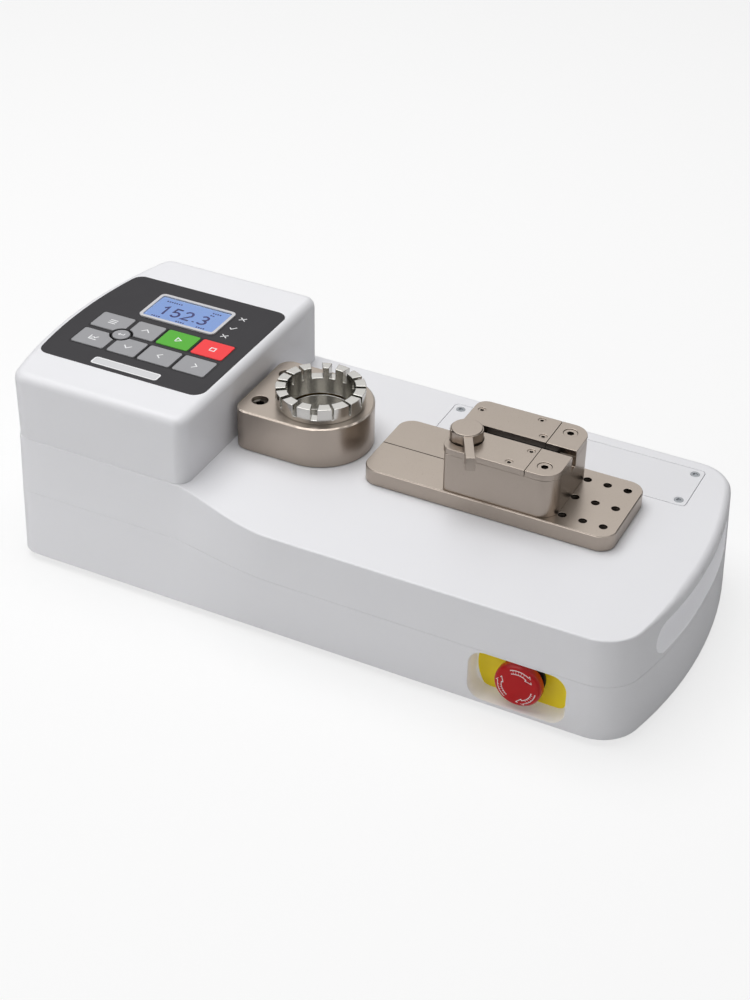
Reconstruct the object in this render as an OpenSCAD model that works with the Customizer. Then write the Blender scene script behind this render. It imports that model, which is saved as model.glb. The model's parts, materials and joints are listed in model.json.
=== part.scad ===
// Wire crimp pull tester, a bench instrument. Millimetres, Z up, origin at the
// middle of the footprint on the bench. +X runs along the pull, -Y is the front.

/* [Casing] */
// length of the casing
casing_l = 437; // [400:1:480]
// width of the casing
casing_w = 195; // [176:1:220]
// height of the feet under the casing
foot_h = 4; // [2:0.5:8]
// height of the lower tray
tray_h = 38.9; // [36:0.1:44]
// height of the deck above the underside of the casing
deck_h = 71.2; // [66:0.1:80]
// height of the head above the deck
head_h = 45.6; // [40:0.1:56]
// wall thickness of the mouldings
wall = 3; // [2:0.25:4]
// radius of the bowed ends in plan
end_bow_r = 300; // [240:5:400]
// plan radius of the two left corners
left_corner_r = 12; // [8:1:20]
// plan radius of the two right corners
right_corner_r = 26; // [16:1:34]
// how far the front wall swells out past the front of the head
bulge = 20.4; // [8:0.1:26]
// length over which the deck front edge sweeps out
sweep_l = 73.7; // [40:0.1:110]
// how far the right end leans inwards up to the deck
end_draft = 3; // [0:0.5:6]
// how far the foot of the left end stands in from its top
left_draft = 7; // [0:0.5:9]
// plan distance of the pull line behind the casing middle
axis_y = 9.4; // [0:0.1:16]
// x of the right wall of the head
head_x = -86.7; // [-110:0.1:-60]
// gap of the head seam all round
seam = 0.6; // [0.3:0.1:1]
// top edge radius of the head
head_edge_r = 6; // [3:0.5:10]
// edge radius of the front edge of the deck
crisp_r = 1.2; // [0.5:0.1:3]
// edge radius of the right end and back of the deck
soft_r = 5; // [2:0.5:8]

/* [Hand hold] */
// width of the hand hold in the right end
hold_w = 126; // [100:1:140]
// height of the hand hold opening
hold_h = 21; // [18:0.5:26]
// height of the middle of the hand hold
hold_z = 56.5; // [54:0.5:60]
// depth of the hand hold
hold_d = 26; // [18:1:30]

/* [Control panel] */
// right edge of the overlay
panel_right_x = -91.9; // [-100:0.1:-90]
// inset of the overlay from the bowed left end
panel_inset = 6.2; // [5:0.1:16]
// depth of the overlay front to back
panel_w = 112.5; // [100:0.5:120]
// corner radius of the overlay
panel_r = 8; // [4:0.5:14]
// thickness of the overlay
overlay_t = 0.8; // [0.5:0.1:1.5]
// key height above the overlay
key_up = 0.5; // [0.3:0.1:1]
// key travel
key_travel = 0.4; // [0.2:0.05:0.5]
// gap round each key
key_gap = 0.15; // [0.1:0.05:0.3]
// depth of a key front to back
key_d = 18; // [14:0.5:20]
// widths of the four key columns
key_ws = [23.5, 20, 23, 22.5]; // [16:0.5:26]
// x of the middle of each key column
key_xs = [-186, -161.4, -137.8, -112.8]; // [-200:0.1:-100]
// y of the middle of the two key rows
key_ys = [4.4, -17.6]; // [-30:0.1:20]
// corner radius of the keys
key_r = 1.6; // [0.5:0.1:3]
// place of the round key
enter_at = [-173, -6.4]; // [-180:0.1:0]
// radius of the round key
enter_r = 5.6; // [4:0.1:7]
// radius kept clear round the round key
enter_clear_r = 7.6; // [6:0.1:10]
// size of the display bezel
bezel = [55.6, 31.2]; // [30:0.1:70]
// corner radius of the display bezel
bezel_r = 3.4; // [2:0.1:6]
// place of the middle of the display
display_at = [-149.4, 35]; // [-180:0.1:60]
// size of the display window
window = [51, 26.5]; // [20:0.5:60]

/* [Emergency stop] */
// x of the emergency stop
stop_x = 141.3; // [100:0.1:160]
// height of the emergency stop
stop_z = 24.4; // [22:0.1:28]
// length of the recess
recess_l = 59.8; // [50:0.1:70]
// height of the recess
recess_h = 34.4; // [30:0.1:36]
// corner radius of the recess
recess_r = 10; // [6:0.5:16]
// depth of the recess
recess_d = 14; // [10:0.5:18]
// radius of the mushroom head
stop_r = 14.5; // [12:0.1:16]
// thickness of the mushroom head
stop_t = 7.5; // [6:0.1:10]
// stroke of the mushroom head
stop_travel = 2.8; // [1:0.1:4]
// radius of the collar behind the mushroom head
collar_r = 13.2; // [11:0.1:14]

/* [Terminal fixture] */
// x of the ring centre
ring_x = -39.5; // [-60:0.1:-20]
// half width and end radius of the fixture block
block_r = 33.5; // [30:0.1:38]
// gap between the fixture block and the head
block_gap = 3.2; // [1:0.1:6]
// height of the fixture block
block_h = 27.3; // [22:0.1:32]
// corner radius of the fixture block next to the head
block_corner_r = 9; // [4:0.5:14]
// outer radius of the slotted ring
ring_r = 28; // [24:0.1:30]
// bore radius of the slotted ring
ring_bore_r = 21.5; // [18:0.1:23]
// height of the slotted ring above the block
ring_h = 10.3; // [8:0.1:14]
// depth of the slots of the ring
slot_d = 7.4; // [5:0.1:9]
// slot widths going round the ring from the pull line
slot_ws = [2, 2.4, 2.8, 3.4, 4.2, 7.2, 1.6, 2, 2.4, 2.8, 3, 3, 4.4, 1.3, 1.6]; // [1:0.1:8]
// angle of each slot from the pull line
slot_as = [0, 24.7, 49.4, 74.1, 98.8, 123.5, 149, 171, 193.5, 216, 238, 263, 289, 313, 337]; // [0:0.1:360]
// journal radius of the ring
journal_r = 24; // [22:0.1:26]
// journal depth of the ring
journal_h = 8; // [5:0.5:12]
// wall of the bearing sleeve
sleeve_t = 2; // [1:0.1:3]

/* [Wire grip] */
// left end of the grip plate
plate_x = 3.5; // [0:0.1:12]
// length of the grip plate
plate_l = 160.4; // [150:0.1:170]
// width of the grip plate
plate_w = 62; // [56:0.5:70]
// thickness of the grip plate
plate_t = 10.2; // [8:0.1:12]
// gap under the grip plate and under the fixture block
ride_gap = 0.5; // [0.3:0.1:1]
// corner radius of the grip plate
plate_r = 10; // [4:0.5:14]
// x of the middle hole of the accessory grid
grid_x = 142.5; // [138:0.1:146]
// hole pitch along the pull
pitch_x = 12.7; // [10:0.1:16]
// hole pitch across the pull
pitch_y = 20.32; // [16:0.01:24]
// radius of the accessory holes
grid_hole_r = 2.5; // [1.5:0.1:3]
// left end of the grip body
body_x = 56.5; // [50:0.1:60]
// right end of the grip body
body_x2 = 127.2; // [120:0.1:128]
// width of the grip body
body_w = 59; // [54:0.5:62]
// height of the grip body under its covers
body_h = 25.5; // [20:0.5:30]
// thickness of the grip covers
cover_t = 4; // [3:0.5:6]
// radius of the right corners of the grip
body_r = 11; // [4:0.5:14]
// width of the wire channel
channel_w = 6.6; // [5:0.1:8]
// depth of the wire channel in the end walls
channel_d = 11; // [8:0.5:14]
// x of the seam between covers and end caps
cap_x = 108; // [100:0.1:114]
// jaw gap at rest
jaw_gap = 1.2; // [0.6:0.1:3]
// travel of each jaw
jaw_travel = 2.6; // [1:0.1:2.7]
// width of each jaw
jaw_w = 9; // [7:0.1:9]
// place of the lever pivot, y from the pull line
pivot = [64.3, -13.4]; // [-20:0.1:70]
// radius of the lever boss
lever_r = 10; // [8:0.1:10]
// thickness of the lever
lever_t = 7.2; // [5:0.1:9]
// length of the lever arm from its pivot
lever_l = 31.5; // [26:0.5:40]
// angle of the lever arm from the front towards the right
lever_a = 28; // [0:1:40]

/* [Drive] */
// travel of the grip
grip_travel = 45; // [30:1:45]
// radius of the lead screw
screw_r = 6; // [4:0.1:8]
// radius of the guide rods
rod_r = 6; // [4:0.1:8]
// distance of a guide rod from the pull line
rod_y = 26; // [22:0.1:28]
// height of the lead screw
screw_z = 40; // [39:0.1:42]
// body size of the drive motor
motor_w = 48; // [40:0.5:48]
// length of the drive motor
motor_l = 56; // [40:1:60]
// radial running clearance of the shafts
run = 0.05; // [0.02:0.01:0.1]

/* [Hidden] */
$fn = 64;
over = 1;

x_l = -casing_l / 2;
x_r = casing_l / 2;
y_f = -casing_w / 2;
y_b = casing_w / 2;
z_0 = foot_h;
z_seam = z_0 + tray_h;
z_deck = z_0 + deck_h;
z_top = z_deck + head_h;
deck_t = 3.5;
z_under = z_deck - deck_t;
head_y = y_f + bulge;
z_plate = z_deck + ride_gap;
z_plate_top = z_plate + plate_t;
z_body_top = z_plate_top + body_h;
z_cover_top = z_body_top + cover_t;
z_block_top = z_plate + block_h;
corner_n = 6;
bow_n = 12;
sweep_n = 14;
right_bow_n = 14;

// Helpers
function arc(c, r, a0, a1, n) =
    [for (i = [1:n]) let (a = a0 + (a1 - a0) * i / n) [c[0] + r * cos(a), c[1] + r * sin(a)]];
function ease(t) = t <= 0 ? 0 : t >= 1 ? 1
    : (pow(t, 3) - 2 * t * t + t) + (3 * t * t - 2 * pow(t, 3));
// front edge of the casing at share s of the way up to the deck
function front_at(x, s) = y_f + s * bulge * (1 - ease((x - head_x + left_corner_r / 4) / sweep_l));
// corner centre x for a corner of radius r inside a bowed end centred on bx
function corner_x(bx, side, r, yc) = bx + side * sqrt(pow(end_bow_r - r, 2) - yc * yc);
// casing outline at share s, moved in by gap g, running anticlockwise
function plan(s, g) = let (
    bl = x_l + (1 - s) * left_draft + end_bow_r, br = x_r - s * end_draft - end_bow_r,
    lr = left_corner_r, rr = right_corner_r,
    yf = y_f + s * bulge + lr, yb = y_b - lr, yr = y_b - rr,
    xf = corner_x(bl, -1, lr, yf), xb = corner_x(bl, -1, lr, yb),
    xr = corner_x(br, 1, rr, yr),
    af = 360 + atan2(yf, xf - bl), ab = atan2(yb, xb - bl), ar = atan2(yr, xr - br),
    x0 = xf + lr / 2)
    concat(arc([xf, yf], lr - g, af, 270, corner_n),
        [for (i = [0:sweep_n]) let (x = head_x + sweep_l * (i / sweep_n) - lr / 4)
            [x, front_at(x, s) + g]],
        [[xr, y_f + g]],
        arc([xr, -yr], rr - g, 270, 360 - ar, corner_n + 2),
        arc([br, 0], end_bow_r - g, -ar, ar, right_bow_n),
        arc([xr, yr], rr - g, ar, 90, corner_n + 2),
        [[xb, y_b - g]],
        arc([xb, yb], lr - g, 90, ab, corner_n),
        arc([bl, 0], end_bow_r - g, ab, af, bow_n));
// edge radius at a point of the outline, crisp at the front and soft elsewhere
function soft_at(q) = let (t = (q[1] - y_f - bulge) / (right_corner_r * 2), u = min(1, max(0, t)),
    v = min(1, max(0, (q[0] - head_x) / sweep_l))) crisp_r + (soft_r - crisp_r) * u * v;
function ring_at(s, g, z) = [for (q = plan(s, g)) [q[0], q[1], z]];
// ring of the rounded deck edge, a degrees round the edge
function edge_ring(a) = let (o = plan(1, 0), n = len(o)) [for (i = [0:n - 1])
    let (r = soft_at(o[i]), p = o[(i + n - 1) % n], q = o[(i + 1) % n],
        d = q - p, l = norm(d), k = r * (1 - cos(a)))
    [o[i][0] - k * d[1] / l, o[i][1] + k * d[0] / l, z_deck - r * (1 - sin(a))]];
// head outline moved in by gap g, running anticlockwise
function head_plan(g) = let (
    bl = x_l + end_bow_r, lr = left_corner_r - seam, hr = head_corner_r,
    yf = head_y + seam + lr, yb = y_b - seam - lr,
    xf = corner_x(bl, -1, lr + seam, yf), xb = corner_x(bl, -1, lr + seam, yb),
    af = 360 + atan2(yf, xf - bl), ab = atan2(yb, xb - bl))
    concat(arc([xf, yf], lr - g, af, 270, corner_n),
        arc([head_x - hr, head_y + seam + hr], hr - g, 264, 360, corner_n),
        arc([head_x - hr, y_b - seam - hr], hr - g, 0, 84, corner_n),
        arc([xb, yb], lr - g, 90, ab, corner_n),
        arc([bl, 0], end_bow_r - seam - g, ab, af, bow_n));
function head_ring(g, z) = [for (q = head_plan(g)) [q[0], q[1], z]];
head_corner_r = 9;

// solid through rings of points, its two flat ends fanned from a middle point
module loft(rings) {
    n = len(rings[0]);
    m = len(rings);
    polyhedron(points = concat([for (r = rings) for (q = r) q],
            [for (r = [rings[0], rings[m - 1]]) ring_middle(r)]),
        faces = concat([for (i = [0:n - 1]) [m * n, i, (i + 1) % n]],
            [for (i = [0:n - 1]) [m * n + 1, (m - 1) * n + (i + 1) % n, (m - 1) * n + i]],
            [for (k = [0:m - 2]) for (i = [0:n - 1])
                [k * n + i, (k + 1) * n + i, (k + 1) * n + (i + 1) % n]],
            [for (k = [0:m - 2]) for (i = [0:n - 1])
                [k * n + i, (k + 1) * n + (i + 1) % n, k * n + (i + 1) % n]]));
}
function ring_middle(r) = let (lo = min([for (q = r) q[0]]), hi = max([for (q = r) q[0]]))
    [(lo + hi) / 2, 0, r[0][2]];
// share of the height up to the deck
function up_share(z) = (z - z_0) / deck_h;

// box from two corners
module box(a, b) { translate(a) cube(b - a); }
// upright cylinder
module post(x, y, z0, z1, r) { translate([x, y, z0]) cylinder(h = z1 - z0, r = r); }
// cylinder along x
module bar_x(x0, x1, y, z, r) { translate([x0, y, z]) rotate([0, 90, 0]) cylinder(h = x1 - x0, r = r); }
// cylinder along y
module bar_y(x, y0, y1, z, r) { translate([x, y0, z]) rotate([-90, 0, 0]) cylinder(h = y1 - y0, r = r); }
// rounded rectangle with a radius for each side
module slab(a, b, z0, z1, rl, rr) {
    translate([0, 0, z0]) linear_extrude(z1 - z0) union() {
        translate([a[0] + rl, a[1]]) square([b[0] - a[0] - rl - rr, b[1] - a[1]]);
        translate([a[0], a[1] + rl]) square([rl + over / 4, b[1] - a[1] - 2 * rl]);
        translate([b[0] - rr - over / 4, a[1] + rr]) square([rr + over / 4, b[1] - a[1] - 2 * rr]);
        for (y = [a[1] + rl, b[1] - rl]) translate([a[0] + rl, y]) circle(r = rl);
        for (y = [a[1] + rr, b[1] - rr]) translate([b[0] - rr, y]) circle(r = rr);
    }
}
// rounded window seen from the front, running along y
module window_y(cx, cz, l, h, r, y0, y1) {
    for (sx = [-1, 1], sz = [-1, 1]) bar_y(cx + sx * (l / 2 - r), y0, y1, cz + sz * (h / 2 - r), r);
    box([cx - l / 2 + r, y0, cz - h / 2], [cx + l / 2 - r, y1, cz + h / 2]);
    box([cx - l / 2, y0, cz - h / 2 + r], [cx + l / 2, y1, cz + h / 2 - r]);
}
// long hole along y seen from the right, running along x
module obround_x(cy, cz, l, h, x0, x1) {
    for (sy = [-1, 1]) bar_x(x0, x1, cy + sy * (l - h) / 2, cz, h / 2);
    box([x0, cy - (l - h) / 2, cz - h / 2], [x1, cy + (l - h) / 2, cz + h / 2]);
}
// socket head screw standing at x, y with its head top at z
module socket_screw(x, y, z, shank_r, head_r, head_hh, l) {
    difference() {
        union() {
            post(x, y, z - l, z - head_hh + over / 4, shank_r);
            post(x, y, z - head_hh, z, head_r);
        }
        translate([x, y, z - head_hh * hex_share]) cylinder(h = head_hh, r = head_r * hex_share, $fn = 6);
    }
}
hex_share = 0.55;

// Casing
screw_posts = [[-188, -62], [-188, 80], [20, -85], [20, 85], [192, -78], [192, 80]];
post_r = 5;
case_screw_r = 2;
case_head_r = 3.6;
case_head_h = 3;
case_screw_in = 10;
chassis_posts = [[-170, -30], [-170, 60], [0, -30], [0, 60], [150, -28], [150, 60]];
chassis_z = z_0 + wall + 4;
chassis_t = 4;
chassis_top = chassis_z + chassis_t;
cup_t = 2;
stop_hole_r = 11.1;
foot_r = 9;
feet_at = [[-185, -78], [-185, 66], [172, -82], [172, 82]];
foot_sink = 1;

module base_tray() {
    color("#E9E9E6") difference() {
        union() {
            difference() {
                loft([ring_at(0, crisp_r, z_0), ring_at(0, 0, z_0 + crisp_r),
                    ring_at(up_share(z_seam), 0, z_seam)]);
                loft([ring_at(0, wall, z_0 + wall), ring_at(up_share(z_seam + over), wall, z_seam + over)]);
            }
            for (q = screw_posts) post(q[0], q[1], z_0 + crisp_r, z_seam, post_r);
            for (q = chassis_posts) post(q[0], q[1], z_0 + crisp_r, chassis_z, post_r);
            intersection() {
                window_y(stop_x, stop_z, recess_l + 2 * cup_t, recess_h + 2 * cup_t, recess_r + cup_t,
                    y_f + cup_t, y_f + recess_d + cup_t);
                box([stop_x - recess_l, y_f, z_0 + crisp_r], [stop_x + recess_l, 0, z_seam]);
            }
        }
        window_y(stop_x, stop_z, recess_l, recess_h, recess_r, y_f - over, y_f + recess_d);
        bar_y(stop_x, y_f, y_f + recess_d + cup_t + over, stop_z, stop_hole_r);
        for (q = screw_posts) {
            post(q[0], q[1], z_0 - over, z_seam + over, case_screw_r + run);
            post(q[0], q[1], z_0 - over, z_0 + case_head_h + over / 2, case_head_r + 4 * run);
        }
        for (q = feet_at) post(q[0], q[1], z_0 - over, z_0 + foot_sink, foot_r + run);
    }
}

slot_y = 9;
neck_l = 40;
slot_x0 = plate_x + plate_l / 2 - neck_l / 2 - 2;
slot_x1 = plate_x + plate_l / 2 + neck_l / 2 + 2 + grip_travel;
load_hole_r = 13.5;
head_open = [[-200, -44], [-96, 72]];
service = [[18.5, 44.9], [186.5, 86.4]];
service_t = 2.5;
service_ledge = 5;
service_r = 3;
service_at = [[24, 50.4], [24, 80.9], [181, 50.4], [181, 80.9]];
service_screw_r = 1.5;
service_head_r = 2.9;

module main_cover() {
    color("#F0F0EE") difference() {
        union() {
            difference() {
                loft(concat([ring_at(up_share(z_seam), 0, z_seam)], [for (a = [0:22.5:90]) edge_ring(a)]));
                loft([ring_at(up_share(z_seam - over), wall, z_seam - over),
                    ring_at(up_share(z_under), wall, z_under)]);
            }
            for (q = screw_posts) post(q[0], q[1], z_seam, z_under + over, post_r);
            for (q = service_at) post(q[0], q[1], z_under - service_ledge, z_under + over, service_ledge * 0.8);
            intersection() {
                obround_x(0, hold_z, hold_w + 2 * cup_t, hold_h + 2 * cup_t, x_r - hold_d - cup_t, x_r);
                loft([ring_at(up_share(z_seam), wall / 2, z_seam), ring_at(1, wall / 2, z_deck - soft_r)]);
            }
        }
        obround_x(0, hold_z, hold_w, hold_h, x_r - hold_d, x_r + over);
        box([slot_x0, axis_y - slot_y, z_under - over], [slot_x1, axis_y + slot_y, z_deck + over]);
        post(ring_x, axis_y, z_under - over, z_deck + over, load_hole_r);
        box([head_open[0][0], head_open[0][1], z_under - over], [head_open[1][0], head_open[1][1], z_deck + over]);
        slab(service[0], service[1], z_deck - service_t, z_deck + over, service_r, service_r);
        slab(service[0] + [1, 1] * service_ledge * 2, service[1] - [1, 1] * service_ledge * 2,
            z_under - over, z_deck, service_r, service_r);
        for (q = service_at) post(q[0], q[1], z_under - service_ledge + over, z_deck, service_screw_r + run);
        for (q = screw_posts) post(q[0], q[1], z_seam - over, z_seam + case_screw_in + over, case_screw_r + run);
        for (i = [0:vent_n - 1]) translate([vent_x + i * vent_pitch, y_b - wall - over, z_seam + vent_z])
            cube([vent_w, wall + 2 * over, vent_l]);
    }
}
vent_n = 9;
vent_pitch = 7;
vent_w = 2.4;
vent_l = 18;
vent_x = -150;
vent_z = 6;

rear_x = [-196, -98];
rear_z = [z_deck + 5, z_deck + 40];
rear_d = 5;
rear_t = 3;
inlet_x = -175;
inlet_size = [30, 24];
inlet_flange = [40, 28];
switch_x = -142;
switch_size = [13, 20];
switch_flange = [16, 24];
usb_x = -116;
usb_size = [12, 11];
rear_mid = (rear_z[0] + rear_z[1]) / 2;
key_zone = [[-200, -29], [-99, 16]];
board_boss_r = 3;
key_low = 3.2;
key_air = 0.05;
board_z = z_top - key_low - key_travel - key_air;
board_t = 1.6;
board_at = [[-203, -34], [-97, 60]];
boss_at = [[-196, -33.2], [-104, -33.2], [-188, 57], [-104, 57]];
display_hole = [53, 28.5];

module head_housing() {
    color("#F2F2F0") difference() {
        union() {
            difference() {
                loft(concat([head_ring(0, z_deck)],
                    [for (a = [0:22.5:90]) head_ring(head_edge_r * (1 - cos(a)), z_top - head_edge_r * (1 - sin(a)))]));
                loft([head_ring(wall, z_deck - over), head_ring(wall, z_top - wall - overlay_t - over),
                    head_ring(wall + over, z_top - wall - overlay_t)]);
            }
            box([rear_x[0] - rear_t, y_b - rear_d - rear_t - seam, rear_z[0] - rear_t],
                [rear_x[1] + rear_t, y_b - wall, rear_z[1] + rear_t]);
            for (q = boss_at) post(q[0], q[1], board_z - board_t, z_top - wall, board_boss_r);
        }
        box([rear_x[0], y_b - rear_d - seam, rear_z[0]], [rear_x[1], y_b + over, rear_z[1]]);
        panel_shape(z_top - overlay_t, z_top + over, 0);
        box([key_zone[0][0], key_zone[0][1], z_top - wall * 3], [key_zone[1][0], key_zone[1][1], z_top]);
        translate([display_at[0], display_at[1], z_top - wall * 3]) mid_box(display_hole, wall * 3);
        port_cut(inlet_x, inlet_size);
        port_cut(switch_x, switch_size);
        port_cut(usb_x, usb_size);
        for (q = boss_at) post(q[0], q[1], board_z - board_t - over, board_z + board_t, board_boss_r / 3);
    }
}
// overlay outline between two heights, moved in by g
module panel_shape(z0, z1, g) {
    translate([0, 0, z0]) linear_extrude(z1 - z0) polygon(panel_plan(g));
}
function panel_plan(g) = let (
    bl = x_l + end_bow_r, r = panel_r, rad = end_bow_r - panel_inset,
    yf = axis_y - panel_w / 2 + r, yb = axis_y + panel_w / 2 - r,
    xf = bl - sqrt(pow(rad - r, 2) - yf * yf), xb = bl - sqrt(pow(rad - r, 2) - yb * yb),
    af = 360 + atan2(yf, xf - bl), ab = atan2(yb, xb - bl))
    concat(arc([xf, yf], r - g, af, 270, corner_n),
        arc([panel_right_x - r, yf], r - g, 262, 360, corner_n),
        arc([panel_right_x - r, yb], r - g, 0, 82, corner_n),
        arc([xb, yb], r - g, 90, ab, corner_n),
        arc([bl, 0], rad - g, ab, af, bow_n));
// box centred in plan standing on z 0
module mid_box(s, h) { translate([-s[0] / 2, -s[1] / 2, 0]) cube([s[0], s[1], h]); }
module port_cut(x, s) {
    box([x - s[0] / 2, y_b - rear_d - seam - rear_t - over, rear_mid - s[1] / 2],
        [x + s[0] / 2, y_b, rear_mid + s[1] / 2]);
}

module service_cover() {
    color("#EFEFED") difference() {
        slab(service[0] + [1, 1] * service_gap, service[1] - [1, 1] * service_gap,
            z_deck - service_t, z_deck, service_r - service_gap, service_r - service_gap);
        for (q = service_at) {
            post(q[0], q[1], z_under, z_deck + over, service_screw_r + run);
            post(q[0], q[1], z_deck - run - service_head_h, z_deck + over, service_head_r + run);
        }
    }
}
service_gap = 0.3;
service_head_h = 1.4;
module service_screws() {
    color("#8C8F93") for (q = service_at)
        socket_screw(q[0], q[1], z_deck - run, service_screw_r, service_head_r, service_head_h,
            service_t + service_ledge - over);
}
module feet() {
    color("#2A2A2C") for (q = feet_at) {
        post(q[0], q[1], foot_chamfer, z_0 + foot_sink, foot_r);
        translate([q[0], q[1], 0]) cylinder(h = foot_chamfer, r1 = foot_r - foot_chamfer, r2 = foot_r);
    }
}
foot_chamfer = 1;
module casing_screws() {
    color("#6F7276") for (q = screw_posts) difference() {
        union() {
            post(q[0], q[1], z_0 + case_head_h, z_seam + case_screw_in, case_screw_r);
            post(q[0], q[1], z_0 + case_head_in, z_0 + case_head_h + over / 2, case_head_r);
        }
        translate([q[0], q[1], z_0]) cylinder(h = case_head_h, r = case_head_r * hex_share, $fn = 6);
    }
}
case_head_in = 0.4;

// Rear sockets and switch
module flange(x, s, t) {
    box([x - s[0] / 2, y_b - rear_d - seam, rear_mid - s[1] / 2],
        [x + s[0] / 2, y_b - rear_d - seam + t, rear_mid + s[1] / 2]);
}
module port_body(x, s, d) {
    box([x - s[0] / 2 + run, y_b - rear_d - seam - d, rear_mid - s[1] / 2 + run],
        [x + s[0] / 2 - run, y_b - rear_d - seam + over / 2, rear_mid + s[1] / 2 - run]);
}
flange_t = 2.5;
inlet_d = 24;
plug = [24.4, 16.4];
plug_d = 17;
pin = [1.6, 4];
pin_l = 13;
module power_inlet() {
    color("#1E1F21") {
        difference() {
            union() { flange(inlet_x, inlet_flange, flange_t); port_body(inlet_x, inlet_size, inlet_d); }
            box([inlet_x - plug[0] / 2, y_b - rear_d - seam + flange_t - plug_d, rear_mid - plug[1] / 2],
                [inlet_x + plug[0] / 2, y_b + over, rear_mid + plug[1] / 2]);
        }
        for (i = [-1, 0, 1]) translate([inlet_x + i * plug[0] * 0.29, y_b - rear_d - seam + flange_t - plug_d - over,
            rear_mid - (abs(i) - 0.5) * pin[1]])
            translate([-pin[0] / 2, 0, -pin[1] / 2]) cube([pin[0], pin_l + over, pin[1]]);
    }
}
rocker_d = 16;
rocker_open = [10.4, 17.4];
rocker_open_d = 8;
module rocker_frame() {
    color("#1E1F21") difference() {
        union() { flange(switch_x, switch_flange, flange_t); port_body(switch_x, switch_size, rocker_d); }
        box([switch_x - rocker_open[0] / 2, y_b - rear_d - seam + flange_t - rocker_open_d, rear_mid - rocker_open[1] / 2],
            [switch_x + rocker_open[0] / 2, y_b + over, rear_mid + rocker_open[1] / 2]);
        bar_x(switch_x - rocker_open[0] / 2 - rocker_pin_in, switch_x + rocker_open[0] / 2 + rocker_pin_in,
            rocker_y, rear_mid, rocker_pin_r + run);
    }
}
rocker_y = y_b - rear_d - seam - 1.2;
rocker_pin_r = 1.2;
rocker_pin_in = 0.8;
rocker_r = 7.6;
rocker_gap = 0.3;
module power_rocker() {
    color("#B3151B") translate([0, rocker_y, rear_mid]) rotate([rocker_a, 0, 0]) translate([0, -rocker_y, -rear_mid]) {
        intersection() {
            bar_x(switch_x - rocker_open[0] / 2 + rocker_gap, switch_x + rocker_open[0] / 2 - rocker_gap,
                rocker_y - rocker_drop, rear_mid, rocker_r);
            box([switch_x - switch_size[0], rocker_y - rocker_sole, rear_mid - rocker_r],
                [switch_x + switch_size[0], y_b, rear_mid + rocker_r]);
        }
        bar_x(switch_x - rocker_open[0] / 2 - rocker_pin_in + run, switch_x + rocker_open[0] / 2 + rocker_pin_in - run,
            rocker_y, rear_mid, rocker_pin_r);
    }
}
rocker_a = 8;
rocker_drop = 2.4;
rocker_sole = 2;
usb_mouth = [8.4, 7.8];
usb_d = 15;
usb_flange = [16, 15];
usb_t = 1.2;
usb_tongue = [5.6, 3.2];
module usb_port() {
    color("#9DA1A5") {
        difference() {
            union() { flange(usb_x, usb_flange, usb_t); port_body(usb_x, usb_size, usb_d); }
            box([usb_x - usb_mouth[0] / 2, y_b - rear_d - seam - usb_d + usb_t * 2, rear_mid - usb_mouth[1] / 2],
                [usb_x + usb_mouth[0] / 2, y_b, rear_mid + usb_mouth[1] / 2]);
        }
        box([usb_x - usb_tongue[0] / 2, y_b - rear_d - seam - usb_d + usb_t, rear_mid - usb_tongue[1] / 2],
            [usb_x + usb_tongue[0] / 2, y_b - rear_d - seam - usb_t, rear_mid + usb_tongue[1] / 2]);
    }
}

// Control panel
// flat outline of one key, grown by g
module key_face(c, w, g) {
    difference() {
        translate([c[0] - w / 2 - g, c[1] - key_d / 2 - g]) union() {
            translate([key_r, 0]) square([w + 2 * g - 2 * key_r, key_d + 2 * g]);
            translate([0, key_r]) square([w + 2 * g, key_d + 2 * g - 2 * key_r]);
            for (x = [key_r, w + 2 * g - key_r], y = [key_r, key_d + 2 * g - key_r])
                translate([x, y]) circle(r = key_r, $fn = 24);
        }
        translate(enter_at) circle(r = enter_clear_r - g);
    }
}
module key_solid(col, row, tint) {
    c = [key_xs[col], key_ys[row]];
    color(tint) {
        translate([0, 0, z_top - key_low]) linear_extrude(key_low + key_up) key_face(c, key_ws[col], 0);
        translate([0, 0, z_top - key_low]) linear_extrude(key_low - overlay_t - key_air)
            key_face(c, key_ws[col], key_lip);
    }
}
key_lip = 0.5;
module key_enter() {
    color("#97979A") {
        post(enter_at[0], enter_at[1], z_top - key_low, z_top + key_up, enter_r);
        post(enter_at[0], enter_at[1], z_top - key_low, z_top - overlay_t - key_air, enter_r + key_lip);
    }
}
module panel_overlay() {
    color("#37383C") difference() {
        panel_shape(z_top - overlay_t, z_top, key_gap);
        for (c = [0:3], r = [0, 1]) translate([0, 0, z_top - over * 2]) linear_extrude(over * 4)
            key_face([key_xs[c], key_ys[r]], key_ws[c], key_gap);
        post(enter_at[0], enter_at[1], z_top - over * 2, z_top + over * 2, enter_r + key_gap);
        translate([display_at[0], display_at[1], z_top - over * 2]) mid_box(bezel - [2, 2] * bezel_lip, over * 4);
    }
}
bezel_lip = 1.5;
bezel_t = 0.9;
glass_t = 1.2;
module display_bezel() {
    color("#C9C8CA") translate([display_at[0], display_at[1], 0]) difference() {
        union() {
            slab(-bezel / 2, bezel / 2, z_top, z_top + bezel_t, bezel_r, bezel_r);
            translate([0, 0, z_top - overlay_t]) mid_box(bezel - [2, 2] * (bezel_lip + key_gap), overlay_t + bezel_t / 2);
        }
        translate([0, 0, z_top - over * 2]) mid_box(window + [2, 2] * key_gap, over * 4);
    }
}
module display_window() {
    color("#9FC4E8") translate([display_at[0], display_at[1], z_top - overlay_t]) mid_box(window, glass_t);
}
lcd_t = 3;
module lcd_module() {
    color("#7FA9DE") translate([display_at[0], display_at[1], z_top - overlay_t - lcd_t])
        mid_box(display_hole - [2, 2] * key_gap, lcd_t);
}
dome_r = 3;
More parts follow.
